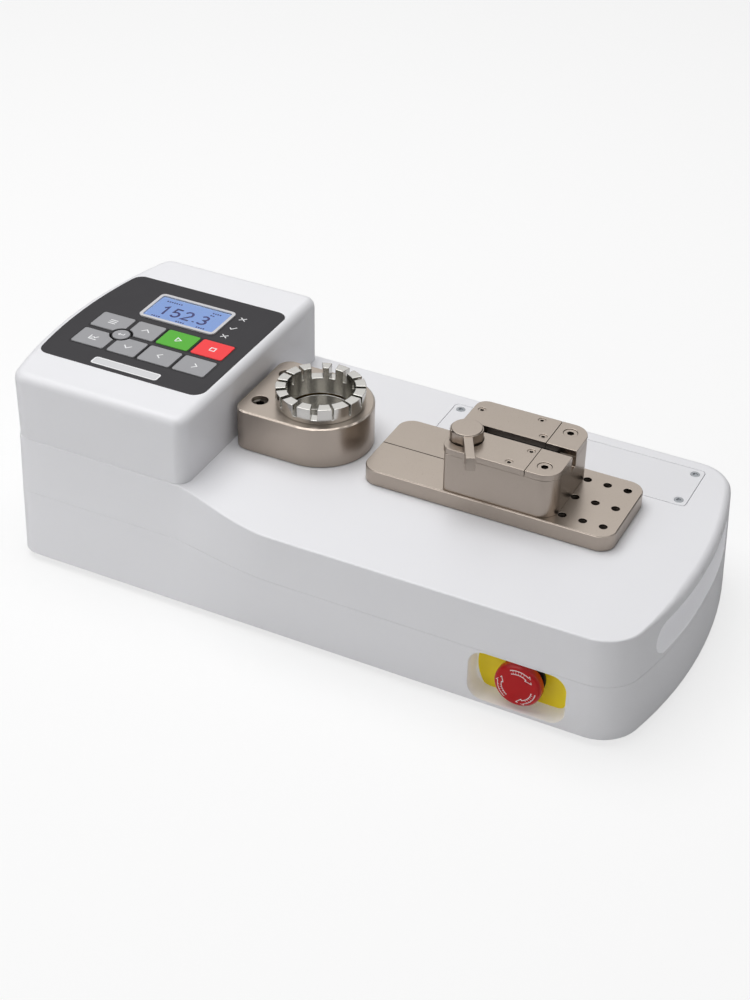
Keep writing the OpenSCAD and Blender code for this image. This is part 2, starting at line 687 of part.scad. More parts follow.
module key_board() {
    color("#1F5A3A") difference() {
        union() {
            box([board_at[0][0], board_at[0][1], board_z - board_t - boss_drop],
                [board_at[1][0], board_at[1][1], board_z - boss_drop]);
            for (c = [0:3], r = [0, 1]) post(key_xs[c], key_ys[r], board_z - boss_drop - over / 2, board_z, dome_r);
            post(enter_at[0], enter_at[1], board_z - boss_drop - over / 2, board_z, dome_r);
            translate([display_at[0], display_at[1], board_z - boss_drop - over / 2])
                mid_box(window * 0.8, z_top - overlay_t - lcd_t - board_z + boss_drop + over / 2);
        }
        for (q = boss_at) post(q[0], q[1], board_z - board_t - boss_drop - over, board_z + over, board_boss_r / 2);
    }
}
boss_drop = board_t;

// Emergency stop
legend_t = 0.8;
legend_r = 29;
legend_hole_r = 11.4;
module stop_legend() {
    color("#F2D21B") difference() {
        intersection() {
            bar_y(stop_x, y_f + recess_d - legend_t, y_f + recess_d, stop_z, legend_r);
            window_y(stop_x, stop_z, recess_l - over, recess_h - over, recess_r - over / 2, y_f, y_f + recess_d);
        }
        bar_y(stop_x, y_f, y_f + recess_d + over, stop_z, legend_hole_r);
    }
}
collar_t = 2;
stem_r = 8;
module stop_collar() {
    color("#26272A") difference() {
        union() {
            bar_y(stop_x, y_f + recess_d - legend_t - collar_t, y_f + recess_d - legend_t, stop_z, collar_r);
            bar_y(stop_x, y_f + recess_d - legend_t - over / 2, y_f + recess_d + cup_t, stop_z, stop_hole_r - run);
        }
        bar_y(stop_x, y_f, y_f + recess_d + cup_t + over, stop_z, stem_r + run);
    }
}
stop_face_y = y_f + 0.5;
stem_back_y = y_f + recess_d + cup_t + 1;
module stop_stem() {
    color("#3A3B3F") bar_y(stop_x, stop_face_y + stop_t - stem_in, stem_back_y, stop_z, stem_r);
}
stem_in = 3;
module stop_head() {
    color("#C4131A") difference() {
        translate([stop_x, stop_face_y, stop_z]) rotate([-90, 0, 0]) rotate_extrude($fn = 96)
            polygon([[0, 0], [stop_r * 0.72, 0], [stop_r * 0.9, 0.6], [stop_r * 0.98, 1.8],
                [stop_r, 3.2], [stop_r, stop_t - 1.6], [stop_r * 0.93, stop_t], [0, stop_t]]);
        bar_y(stop_x, stop_face_y + stop_t - stem_in - run, stop_face_y + stop_t + over, stop_z, stem_r + run);
    }
}
contacts = [[-15, -13], [15, 13]];
contacts_l = 34;
contacts_y = stem_back_y + stop_travel + 0.4;
module stop_contacts() {
    color("#2E6B3C") difference() {
        union() {
            box([stop_x + contacts[0][0], contacts_y, stop_z + contacts[0][1]],
                [stop_x + contacts[1][0], contacts_y + contacts_l, stop_z + contacts[1][1]]);
            bar_y(stop_x, y_f + recess_d + cup_t, contacts_y + over, stop_z, collar_r + over);
        }
        bar_y(stop_x, y_f + recess_d + over, contacts_y, stop_z, stem_r + over);
    }
}

// Terminal fixture
fix_chamfer = 0.8;
fix_screw_x = 10.9;
fix_screw_y = 17.3;
fix_head_r = 5;
fix_shank_r = 3;
fix_head_h = 6;
fix_screw_l = 24;
ring_lift = 0.1;
module d_block(z0, z1, g) {
    x0 = head_x + block_gap + g;
    r = block_corner_r - g;
    translate([0, 0, z0]) linear_extrude(z1 - z0) union() {
        translate([ring_x, axis_y]) circle(r = block_r - g, $fn = 128);
        translate([x0 + r, axis_y - block_r + g]) square([ring_x - x0 - r, 2 * block_r - 2 * g]);
        translate([x0, axis_y - block_r + g + r]) square([ring_x - x0, 2 * block_r - 2 * g - 2 * r]);
        for (s = [-1, 1]) translate([x0 + r, axis_y + s * (block_r - g - r)]) circle(r = r);
    }
}
module fixture_block() {
    color("#A89E93") difference() {
        union() {
            d_block(z_plate, z_block_top - fix_chamfer, 0);
            d_block(z_block_top - fix_chamfer - over / 4, z_block_top - fix_chamfer / 2, fix_chamfer / 4);
            d_block(z_block_top - fix_chamfer, z_block_top, fix_chamfer);
        }
        post(ring_x, axis_y, z_block_top - journal_h - over, z_block_top + over, journal_r + sleeve_t);
        post(ring_x, axis_y, z_plate + well_floor, z_block_top, ring_bore_r - over);
        for (s = [-1, 1]) translate([head_x + block_gap + fix_screw_x, axis_y + s * fix_screw_y, 0]) {
            post(0, 0, z_block_top - fix_head_h - 2 * over, z_block_top + over, fix_head_r + 4 * run);
            post(0, 0, z_block_top - fix_screw_l - over, z_block_top, fix_shank_r + run);
        }
    }
}
well_floor = 8;
module ring_sleeve() {
    color("#B08D57") difference() {
        post(ring_x, axis_y, z_block_top - journal_h - over, z_block_top, journal_r + sleeve_t - run);
        post(ring_x, axis_y, z_block_top - journal_h - 2 * over, z_block_top + over, journal_r + run);
    }
}
module slot_ring() {
    n = len(slot_ws);
    color("#C9C7C2") difference() {
        union() {
            post(ring_x, axis_y, z_block_top + ring_lift, z_block_top + ring_h, ring_r);
            post(ring_x, axis_y, z_block_top - journal_h, z_block_top + over, journal_r);
        }
        post(ring_x, axis_y, z_block_top - journal_h - over, z_block_top + ring_h + over, ring_bore_r);
        for (i = [0:n - 1]) translate([ring_x, axis_y, z_block_top + ring_h - slot_d])
            rotate([0, 0, slot_as[i]])
            translate([ring_bore_r - 2 * over, -slot_ws[i] / 2, 0])
            cube([ring_r - ring_bore_r + 3 * over, slot_ws[i], slot_d + over]);
    }
}
module fixture_screws() {
    color("#8F8C88") for (s = [-1, 1])
        socket_screw(head_x + block_gap + fix_screw_x, axis_y + s * fix_screw_y, z_block_top - 2 * over,
            fix_shank_r, fix_head_r, fix_head_h, fix_screw_l - over);
}
bridge_z = [50, 55];
bridge_l = 64;
bridge_y = 31;
bridge_t = 6;
cell = [60, 25];
cell_slot = [26, 5];
module cell_bridge() {
    color("#9A9DA1") {
        box([ring_x - bridge_l / 2, axis_y - bridge_y - bridge_t, bridge_z[0]],
            [ring_x + bridge_l / 2, axis_y + bridge_y + bridge_t, bridge_z[1]]);
        for (s = [-1, 1]) box([ring_x - bridge_l / 2, axis_y + s * (bridge_y + bridge_t / 2) - bridge_t / 2, chassis_top],
            [ring_x + bridge_l / 2, axis_y + s * (bridge_y + bridge_t / 2) + bridge_t / 2, bridge_z[0] + over]);
    }
}
cell_h = 13;
module load_cell() {
    color("#B9BCC0") {
        difference() {
            box([ring_x - cell[0] / 2, axis_y - cell[1] / 2, bridge_z[1]],
                [ring_x + cell[0] / 2, axis_y + cell[1] / 2, bridge_z[1] + cell_h]);
            box([ring_x - cell_slot[0] / 2, axis_y - cell[1], bridge_z[1] + (cell_h - cell_slot[1]) / 2],
                [ring_x + cell_slot[0] / 2, axis_y + cell[1], bridge_z[1] + (cell_h + cell_slot[1]) / 2]);
        }
        post(ring_x, axis_y, bridge_z[1] + cell_h - over / 2, z_plate, load_hole_r - over * 1.5);
    }
}

// Wire grip
function gy(v) = axis_y + v;
groove = [0.5, 0.3];
plate_chamfer = 0.6;
module grip_plate() {
    a = [plate_x, gy(-plate_w / 2)];
    b = [plate_x + plate_l, gy(plate_w / 2)];
    color("#AAA095") difference() {
        union() {
            slab(a, b, z_plate, z_plate_top - plate_chamfer, plate_r, plate_r);
            slab(a + [1, 1] * plate_chamfer / 2, b - [1, 1] * plate_chamfer / 2, z_plate, z_plate_top,
                plate_r - plate_chamfer / 2, plate_r - plate_chamfer / 2);
        }
        for (i = [-1:1], j = [-1:1]) post(grid_x + i * pitch_x, gy(j * pitch_y), z_plate - over, z_plate_top + over, grid_hole_r);
        box([plate_x - over, gy(-groove[0] / 2), z_plate_top - groove[1]],
            [body_x - over, gy(groove[0] / 2), z_plate_top + over]);
    }
}
cavity = [[70 - 8.5, -15], [117, 15]];
cavity_floor = 6;
shaft_r = 4;
module grip_body() {
    color("#A69C91") difference() {
        slab([body_x, gy(-body_w / 2)], [body_x2, gy(body_w / 2)], z_plate_top, z_body_top, body_left_r, body_r);
        box([cavity[0][0], gy(cavity[0][1]), z_plate_top + cavity_floor], [cavity[1][0], gy(cavity[1][1]), z_body_top + over]);
        box([body_x - over, gy(-channel_w / 2), z_cover_top - channel_d], [body_x2 + over, gy(channel_w / 2), z_body_top + over]);
        post(pivot[0], gy(pivot[1]), z_plate_top + cavity_floor - over, z_body_top + over, shaft_r + run);
        for (x = jaw_pin_x) bar_y(x, gy(-body_w / 2 + pin_wall), gy(body_w / 2 - pin_wall), jaw_pin_z, jaw_pin_r + run / 2);
        for (q = cover_screw_at, s = [-1, 1]) if (has_screw(q, s)) post(q[0], gy(s * q[1]), z_body_top - cover_screw_l, z_body_top + over, cover_screw_r + run);
        for (s = [-1, 1]) post(cap_screw[0], gy(s * cap_screw[1]), z_body_top - cap_screw_l, z_body_top + over, cap_shank_r + run);
    }
}
body_left_r = 3;
pin_wall = 6;
jaw_pin_x = [80, 102];
jaw_pin_r = 2;
jaw_pin_z = z_plate_top + 14;
cover_x = 54.5;
cover_left_r = 7;
cover_screw_at = [[60, 19], [96.4, 25], [103.7, 9]];
// the lever boss takes the place of one screw
function has_screw(q, s) = s > 0 || q[0] > pivot[0];
cover_screw_r = 1.25;
cover_screw_head_r = 2.3;
cover_head_h = 1.4;
cover_screw_l = 8;
cap_screw = [116.6, 20];
cap_shank_r = 2.5;
cap_head_r = 4.2;
cap_head_h = 3;
cap_screw_l = 18;
cap_seam = 0.3;
cap_low = 0.4;
// half of a cover, side s
module cover_half(x0, x1, s, rl, rr) {
    intersection() {
        slab([x0, gy(-body_w / 2)], [x1, gy(body_w / 2)], z_body_top, z_cover_top, rl, rr);
        box([x0, gy(s > 0 ? channel_w / 2 : -body_w), z_body_top - over],
            [x1, gy(s > 0 ? body_w : -channel_w / 2), z_cover_top + over]);
    }
}
module grip_cover(s) {
    difference() {
        cover_half(cover_x, cap_x - cap_seam, s, cover_left_r, cap_seam);
        for (q = cover_screw_at) if (has_screw(q, s)) {
            post(q[0], gy(s * q[1]), z_body_top - over, z_cover_top + over, cover_screw_r + run);
            post(q[0], gy(s * q[1]), z_cover_top - cover_head_h - cap_low, z_cover_top + over, cover_screw_head_r + run);
        }
        if (s < 0) post(pivot[0], gy(pivot[1]), z_body_top - over, z_cover_top + over, lever_r + lever_gap);
        if (s < 0) box([cover_x - over, gy(pivot[1]), z_body_top - over], [pivot[0], gy(0), z_cover_top + over]);
    }
}
module front_cover() { color("#A89E93") grip_cover(-1); }
module rear_cover() { color("#A89E93") grip_cover(1); }
module grip_cap(s) {
    difference() {
        cover_half(cap_x, body_x2, s, cap_seam, body_r);
        post(cap_screw[0], gy(s * cap_screw[1]), z_body_top - over, z_cover_top + over, cap_shank_r + run);
        post(cap_screw[0], gy(s * cap_screw[1]), z_cover_top - cap_head_h - cap_low, z_cover_top + over, cap_head_r + 4 * run);
    }
}
module front_cap() { color("#A79D92") grip_cap(-1); }
module rear_cap() { color("#A79D92") grip_cap(1); }
module cap_screws() {
    color("#6E6B68") for (s = [-1, 1])
        socket_screw(cap_screw[0], gy(s * cap_screw[1]), z_cover_top - cap_low, cap_shank_r, cap_head_r, cap_head_h,
            cap_screw_l);
}
module cover_screws() {
    color("#5E5C59") for (q = cover_screw_at, s = [-1, 1]) if (has_screw(q, s))
        socket_screw(q[0], gy(s * q[1]), z_cover_top - cap_low, cover_screw_r, cover_screw_head_r, cover_head_h,
            q[1] < cavity[1][1] ? cover_t - cap_low - jaw_air : cover_screw_l);
}
jaw_x = [70, 115];
jaw_air = 0.2;
module jaw(s) {
    difference() {
        box([jaw_x[0], gy(s > 0 ? jaw_gap / 2 : -jaw_gap / 2 - jaw_w), z_plate_top + cavity_floor + jaw_air / 2],
            [jaw_x[1], gy(s > 0 ? jaw_gap / 2 + jaw_w : -jaw_gap / 2), z_body_top - jaw_air]);
        for (x = jaw_pin_x) bar_y(x, gy(-body_w), gy(body_w), jaw_pin_z, jaw_pin_r + run);
    }
}
module jaw_front() { color("#5B5C5E") jaw(-1); }
module jaw_rear() { color("#5B5C5E") jaw(1); }
module jaw_pins() {
    color("#B8B9BB") for (x = jaw_pin_x)
        bar_y(x, gy(-body_w / 2 + pin_wall + run), gy(body_w / 2 - pin_wall - run), jaw_pin_z, jaw_pin_r);
}
lever_air = 0.1;
lever_w = 5.6;
lever_gap = 0.4;
flat_a = 38;
flat_share = 0.93;
lever_drop = 2.6;
lever_tip = 7;
module cam_lever() {
    z0 = z_cover_top + lever_air;
    color("#B5ACA1") translate([pivot[0], gy(pivot[1]), 0]) {
        post(0, 0, z_plate_top + cavity_floor + jaw_air, z0 + over, shaft_r);
        rotate([0, 0, lever_a]) difference() {
            union() {
                post(0, 0, z_body_top + lever_air, z0 + lever_t - fix_chamfer, lever_r);
                post(0, 0, z_body_top + lever_air, z0 + lever_t, lever_r - fix_chamfer);
            }
            for (s = [-1, 1]) rotate([0, 0, s * flat_a]) box([-lever_r, -2 * lever_r, z_body_top],
                [lever_r, -lever_r * flat_share, z0 + lever_t + over]);
        }
        rotate([0, 0, lever_a]) {
            box([-lever_w / 2, -lever_l, z0 + over], [lever_w / 2, 0, z0 + lever_t - fix_chamfer]);
            box([-lever_w / 2, -lever_l, z0 - lever_drop], [lever_w / 2, -lever_l + lever_tip, z0 + lever_t - fix_chamfer]);
        }
    }
}

// Drive
carriage_l = 44;
carriage_y = 34;
carriage_z = [27, 53];
neck_y = 8;
function carriage_mid() = plate_x + plate_l / 2;
module carriage() {
    color("#8B9096") difference() {
        union() {
            box([carriage_mid() - carriage_l / 2, gy(-carriage_y), carriage_z[0]],
                [carriage_mid() + carriage_l / 2, gy(carriage_y), carriage_z[1]]);
            box([carriage_mid() - neck_l / 2, gy(-neck_y), carriage_z[1] - over],
                [carriage_mid() + neck_l / 2, gy(neck_y), z_plate]);
        }
        bar_x(-casing_l, casing_l, axis_y, screw_z, screw_r + run);
        for (s = [-1, 1]) bar_x(-casing_l, casing_l, gy(s * rod_y), screw_z, rod_r + run);
    }
}
screw_ends = [-92, 169];
coupling = [-103, -80];
coupling_r = 11;
module lead_screw() { color("#A9ACAF") bar_x(screw_ends[0], screw_ends[1], axis_y, screw_z, screw_r); }
rod_ends = [25, 169];
module guide_rods() {
    color("#C2C5C8") for (s = [-1, 1]) bar_x(rod_ends[0], rod_ends[1], gy(s * rod_y), screw_z, rod_r);
}
block_t = 10;
left_block_x = -76;
left_block_w = 22;
rod_block_x = 24;
right_block_x = 160;
block_up = 14;
module bearing_blocks() {
    color("#7D8288") {
        difference() {
            box([left_block_x, gy(-left_block_w), chassis_top], [left_block_x + block_t, gy(left_block_w), bridge_z[0] - run * 4]);
            bar_x(-casing_l, 0, axis_y, screw_z, screw_r + run);
        }
        difference() {
            union() {
                for (s = [-1, 1]) box([rod_block_x, gy(s * rod_y) - block_t, chassis_top],
                    [rod_block_x + block_t, gy(s * rod_y) + block_t, screw_z + block_t]);
                box([right_block_x, gy(-rod_y - block_t), chassis_top],
                    [right_block_x + block_t, gy(rod_y + block_t), screw_z + block_t]);
            }
            bar_x(0, casing_l, axis_y, screw_z, screw_r + run);
            for (s = [-1, 1]) bar_x(0, casing_l, gy(s * rod_y), screw_z, rod_r + run / 2);
        }
    }
}
module shaft_coupling() {
    color("#9FA3A8") difference() {
        bar_x(coupling[0], coupling[1], axis_y, screw_z, coupling_r);
        bar_x(screw_ends[0], coupling[1] + over, axis_y, screw_z, screw_r + run / 2);
        bar_x(coupling[0] - over, coupling[0] + shaft_in, axis_y, screw_z, motor_shaft_r + run / 2);
    }
}
shaft_in = 9;
motor_shaft_r = 4;
motor_x = -112;
bracket_t = 6;
module motor() {
    color("#3C3F44") {
        box([motor_x - motor_l, gy(-motor_w / 2), screw_z - motor_w / 2], [motor_x, gy(motor_w / 2), screw_z + motor_w / 2]);
        bar_x(motor_x - over, coupling[0] + shaft_in - over, axis_y, screw_z, motor_shaft_r);
    }
}
bracket_y = 30;
bracket_top = 66;
bracket_foot = 0;
module motor_bracket() {
    color("#8B9096") difference() {
        box([motor_x, gy(-bracket_y), chassis_top], [motor_x + bracket_t, gy(bracket_y), bracket_top]);
        bar_x(motor_x - over, motor_x + bracket_t + over, axis_y, screw_z, motor_shaft_r + over);
    }
}

// Chassis
chassis_span = [[-184, -38], [186, 70]];
board_posts = [[-178, -24], [-101, -24], [-178, 58], [-101, 58]];
board_post_r = 3;
main_z = z_deck + 4;
module chassis_plate() {
    color("#A4A8AC") {
        box([chassis_span[0][0], chassis_span[0][1], chassis_z], [chassis_span[1][0], chassis_span[1][1], chassis_top]);
        for (q = board_posts) post(q[0], q[1], chassis_top - over, main_z, board_post_r);
    }
}
supply = [[-50, 48.5, 0], [100, 69, 34]];
module power_supply() {
    color("#B4B7BA") box(supply[0] + [0, 0, chassis_top], supply[1] + [0, 0, chassis_top]);
}
main_span = [[-184, -30], [-95, 64]];
module main_board() {
    color("#1F5A3A") {
        box([main_span[0][0], main_span[0][1], main_z], [main_span[1][0], main_span[1][1], main_z + board_t]);
        for (i = [0:2]) box([main_span[0][0] + 14 + i * 26, 0, main_z + board_t - over / 4],
            [main_span[0][0] + 30 + i * 26, 22, main_z + board_t + chip_h]);
    }
}
chip_h = 3;

base_tray();
main_cover();
head_housing();
service_cover();
service_screws();
feet();
casing_screws();
power_inlet();
rocker_frame();
power_rocker();
usb_port();
panel_overlay();
display_bezel();
display_window();
lcd_module();
key_board();
key_solid(0, 0, "#9B9B9E");  // key_menu
key_solid(0, 1, "#9B9B9E");  // key_data
key_enter();
key_solid(1, 0, "#9B9B9E");  // key_up_arrow
key_solid(1, 1, "#9B9B9E");  // key_down_arrow
key_solid(2, 0, "#3FA535");  // key_start
key_solid(3, 0, "#E02A24");  // key_stop
key_solid(2, 1, "#9B9B9E");  // key_left
key_solid(3, 1, "#9B9B9E");  // key_right
stop_legend();
stop_collar();
stop_stem();
stop_head();
stop_contacts();
fixture_block();
ring_sleeve();
slot_ring();
fixture_screws();
load_cell();
cell_bridge();
grip_plate();
grip_body();
front_cover();
rear_cover();
front_cap();
rear_cap();
cap_screws();
cover_screws();
jaw_front();
jaw_rear();
jaw_pins();
cam_lever();
carriage();
lead_screw();
guide_rods();
bearing_blocks();
shaft_coupling();
motor();
motor_bracket();
chassis_plate();
power_supply();
main_board();
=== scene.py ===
"""Looks of a wire crimp pull tester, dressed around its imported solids.

Sizes in this file are millimetres, in the row frame: +X along the pull, -Y the front, +Z up, with
the origin in the middle of the footprint. Only the last step of each builder turns them to metres.
"""

from __future__ import annotations

import json
import logging
import math
from dataclasses import dataclass, field
from enum import Enum
from typing import Any, Callable, Sequence

import bmesh
import bpy
from mathutils import Euler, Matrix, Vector

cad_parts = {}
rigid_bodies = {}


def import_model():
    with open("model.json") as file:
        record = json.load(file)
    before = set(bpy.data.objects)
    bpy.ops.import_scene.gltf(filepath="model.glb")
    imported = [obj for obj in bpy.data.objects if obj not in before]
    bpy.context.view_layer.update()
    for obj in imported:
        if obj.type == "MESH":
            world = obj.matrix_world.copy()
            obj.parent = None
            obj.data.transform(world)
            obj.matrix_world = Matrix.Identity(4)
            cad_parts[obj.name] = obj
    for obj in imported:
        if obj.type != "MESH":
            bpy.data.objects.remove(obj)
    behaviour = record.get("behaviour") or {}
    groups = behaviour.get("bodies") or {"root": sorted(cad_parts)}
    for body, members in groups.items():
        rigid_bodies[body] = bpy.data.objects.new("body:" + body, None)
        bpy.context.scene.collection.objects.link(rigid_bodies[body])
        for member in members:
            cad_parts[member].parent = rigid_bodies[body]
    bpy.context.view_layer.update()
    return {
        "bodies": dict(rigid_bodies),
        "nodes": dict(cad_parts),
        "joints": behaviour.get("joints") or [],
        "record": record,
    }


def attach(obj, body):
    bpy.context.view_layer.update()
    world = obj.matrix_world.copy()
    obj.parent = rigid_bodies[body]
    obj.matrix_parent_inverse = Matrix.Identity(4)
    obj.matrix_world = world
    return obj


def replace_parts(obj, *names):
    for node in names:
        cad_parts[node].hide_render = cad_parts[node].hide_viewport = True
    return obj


LOG = logging.getLogger("pull_tester")
MM = 0.001
# a wave texture draws one band to this much of its own unit, so scales in bands are cut by it
WAVE_BAND = 0.314
CORNER_STEPS = 6
# a sharp turn's mitre is held to this many half widths of its line
MITRE_MOST = 1.8
SHARPEST = 0.3
TINY = 1e-6
WHITE = (1, 1, 1, 1)

Point = tuple[float, float]
Triple = tuple[float, float, float]
Placer = Callable[[float, float, float], Vector]
FaceTest = Callable[[Vector], bool]
Box = tuple[Point, Point, Point]
Socket = bpy.types.NodeSocket
Tree = bpy.types.NodeTree
Node = bpy.types.Node
Piece = bpy.types.Object
Work = bmesh.types.BMesh
Row = list[bmesh.types.BMVert]


def linear(hex_colour: str) -> tuple[float, float, float, float]:
    """Turns an sRGB hex colour to linear.

    Args:
        hex_colour: Colour such as "#EEEEEC".

    Returns:
        Red, green, blue and an alpha of 1, in linear light.
    """
    parts = [int(hex_colour[i : i + 2], 16) / 255 for i in (1, 3, 5)]
    r, g, b = [c / 12.92 if c <= 0.04045 else ((c + 0.055) / 1.055) ** 2.4 for c in parts]
    return (r, g, b, 1.0)


def add_node(
    tree: Tree,
    kind: str,
    settings: dict[str, Any] | None = None,
    links: dict[str | int, Socket] | None = None,
) -> Node:
    """Adds one shader node.

    Args:
        tree: Node tree to add to.
        kind: Blender's name for the node type, after "ShaderNode".
        settings: Values by attribute name, by input name or by "#" and the input's number.
        links: Sockets that feed the node, by input name or number.

    Returns:
        The new node.
    """
    node = tree.nodes.new(f"ShaderNode{kind}")
    for key, value in (settings or {}).items():
        if hasattr(node, key):
            setattr(node, key, value)
        else:
            node.inputs[int(key[1:]) if key[0] == "#" else key].default_value = value
    for key, socket in (links or {}).items():
        tree.links.new(socket, node.inputs[key])
    return node


def per_metre(size_mm: float) -> float:
    """Gives a pattern's scale from its real size, in repeats to a metre."""
    return 1.0 / (size_mm * MM)


@dataclass
class Surface:
    """A material under work: its nodes, its shader and the place on the piece."""

    tree: Tree
    shader: Node
    at: Socket = field(init=False)

    def __post_init__(self) -> None:
        """Finds the place on the piece."""
        self.at = add_node(self.tree, "TexCoord").outputs["Object"]

    def noise(self, size_mm: float, detail: float, at: Socket | None = None) -> Socket:
        """Adds noise, from 0 to 1, whose lumps have a real size."""
        settings = {"Scale": per_metre(size_mm), "Detail": detail}
        return add_node(self.tree, "TexNoise", settings, {"Vector": at or self.at}).outputs["Fac"]

    def spread(self, low: float, high: float, value: Socket) -> Socket:
        """Stretches a value from 0 to 1 over a range."""
        settings = {"To Min": low, "To Max": high}
        return add_node(self.tree, "MapRange", settings, {"Value": value}).outputs["Result"]

    def tint(self, colour: str, shares: Triple, value: Socket) -> Socket:
        """Mixes a colour with a duller one.

        Args:
            colour: The full colour, in sRGB hex.
            shares: What the duller one keeps of red, green and blue.
            value: Share of the full colour, from 0 to 1.

        Returns:
            The mixed colour.
        """
        full = linear(colour)
        dull = tuple(part * share for part, share in zip(full, (*shares, 1.0)))
        return add_node(self.tree, "Mix", {"data_type": "RGBA", "#6": dull, "#7": full}, {0: value}).outputs[2]

    def relief(self, strength: float, depth_mm: float, height: Socket) -> Socket:
        """Turns a height to fine relief of a real depth."""
        settings = {"Strength": strength, "Distance": depth_mm * MM}
        return add_node(self.tree, "Bump", settings, {"Height": height}).outputs["Normal"]

    def feed(self, values: dict[str, Any]) -> None:
        """Sets the shader's inputs.

        Args:
            values: For each input a constant, or the socket that feeds it.
        """
        for name, value in values.items():
            if isinstance(value, Socket):
                self.tree.links.new(value, self.shader.inputs[name])
            else:
                self.shader.inputs[name].default_value = value


class Lay(Enum):
    """How the tool marks of a metal surface run."""

    BLASTED = "even grains from bead blasting"
    ALONG_X = "fine lines along the pull"
    TURNED = "rings round an upright axis"


@dataclass(frozen=True)
class Finish:
    """A surface, named for its material and for how it was made."""

    name: str
    colour: str
    roughness: float

    def dress(self, on: Surface) -> None:
        """Adds the detail of the surface. A plain finish has none of its own.

        Args:
            on: Surface to dress.
        """

    def material(self) -> bpy.types.Material:
        """Builds the material once.

        Returns:
            The material of this finish.
        """
        made = bpy.data.materials.get(self.name)
        if made:
            return made
        made = bpy.data.materials.new(self.name)
        made.use_nodes = True
        on = Surface(made.node_tree, made.node_tree.nodes["Principled BSDF"])
        on.feed({"Base Color": linear(self.colour), "Roughness": self.roughness})
        self.dress(on)
        return made


@dataclass(frozen=True)
class MouldedPlastic(Finish):
    """Injection moulded plastic: a spark-eroded mould leaves fine pits, so the gloss breaks up softly."""

    grain_mm: float = 0.9
    depth_mm: float = 0.03
    cloud_mm: float = 45.0
    mottle: float = 0.02
    uneven: float = 0.05
    coat: float = 0.0
    coat_roughness: float = 0.08
    # strength of a painted glow that brightens faces lying in shade
    painted_glow: float = 0.0
    relief: float = 0.35
    ior: float = 1.53

    def dress(self, on: Surface) -> None:
        """Adds mould grain, a faint unevenness of colour and of gloss, and any painted glow.

        Args:
            on: Surface to dress.
        """
        # real grain is about 0.1 mm; it is drawn coarser so that it shows at all
        pits = on.noise(self.grain_mm, detail=3.0)
        cloud = on.noise(self.cloud_mm, detail=2.0)
        k = 1.0 - self.mottle
        on.feed({
            "Base Color": on.tint(self.colour, (k, k, k), cloud),
            "Roughness": on.spread(self.roughness - self.uneven, self.roughness + self.uneven, pits),
            "Normal": on.relief(self.relief, self.depth_mm, pits),
            # painted glow: emission that brightens faces lying in shade, such as hollows, as though light
            # reached them
            "Emission Color": linear(self.colour),
            "Emission Strength": self.painted_glow,
            "IOR": self.ior,
            "Coat Weight": self.coat,
            "Coat Roughness": self.coat_roughness,
        })


@dataclass(frozen=True)
class PrintedFilm(Finish):
    """Back-printed polyester film: flat even colour under a finely textured face."""

    cell_mm: float = 0.7
    cell_depth_mm: float = 0.02
    wear_mm: float = 22.0
    gloss: Point = (-0.04, 0.08)
    relief: float = 0.25
    ior: float = 1.4

    def dress(self, on: Surface) -> None:
        """Adds the velvet texture of the film's face, and its uneven gloss.

        Args:
            on: Surface to dress.
        """
        # real cells are about 0.1 mm; they are drawn coarser so that they show at all
        cells = add_node(on.tree, "TexVoronoi", {"Scale": per_metre(self.cell_mm)}, {"Vector": on.at})
        wear = on.noise(self.wear_mm, detail=4.0)
        low, high = self.gloss
        on.feed({
            "Roughness": on.spread(self.roughness + low, self.roughness + high, wear),
            "Normal": on.relief(self.relief, self.cell_depth_mm, cells.outputs["Distance"]),
            "IOR": self.ior,
        })


@dataclass(frozen=True)
class BareMetal(Finish):
    """Machined metal: the cutter, wheel or beads leave marks that stretch or scatter its reflections."""

    lay: Lay = Lay.BLASTED
    grain_mm: float = 0.5
    depth_mm: float = 0.012
    cloud_mm: float = 18.0
    uneven: float = 0.07
    centre: Point = (0.0, 0.0)
    # share of its repeats that a pattern keeps along the pull
    drawn_out: float = 0.03
    wobble: float = 0.4
    toning: Triple = (0.94, 0.94, 0.93)
    relief: float = 0.3

    def marks(self, on: Surface) -> Socket:
        """Draws the tool marks.

        Args:
            on: Surface to mark.

        Returns:
            A height from 0 to 1.
        """
        # real marks are 0.05 to 0.2 mm apart; they are drawn coarser so that they show at all
        if self.lay is Lay.TURNED:
            shift = (-self.centre[0] * MM, -self.centre[1] * MM, 0.0)
            moved = add_node(on.tree, "Mapping", {"Location": shift}, {"Vector": on.at}).outputs["Vector"]
            scale = per_metre(self.grain_mm) * WAVE_BAND
            rings = {"wave_type": "RINGS", "rings_direction": "Z", "Scale": scale, "Distortion": self.wobble}
            return add_node(on.tree, "TexWave", rings, {"Vector": moved}).outputs["Fac"]
        along = self.drawn_out if self.lay is Lay.ALONG_X else 1.0
        moved = add_node(on.tree, "Mapping", {"Scale": (along, 1.0, 1.0)}, {"Vector": on.at}).outputs["Vector"]
        return on.noise(self.grain_mm, detail=4.0, at=moved)

    def dress(self, on: Surface) -> None:
        """Adds tool marks, uneven gloss and slight toning of the metal.

        Args:
            on: Surface to dress.
        """
        height = self.marks(on)
        cloud = on.noise(self.cloud_mm, detail=3.0)
        on.feed({
            "Base Color": on.tint(self.colour, self.toning, cloud),
            "Roughness": on.spread(self.roughness - self.uneven, self.roughness + self.uneven, height),
            "Normal": on.relief(self.relief, self.depth_mm, height),
            "Metallic": 1.0,
        })


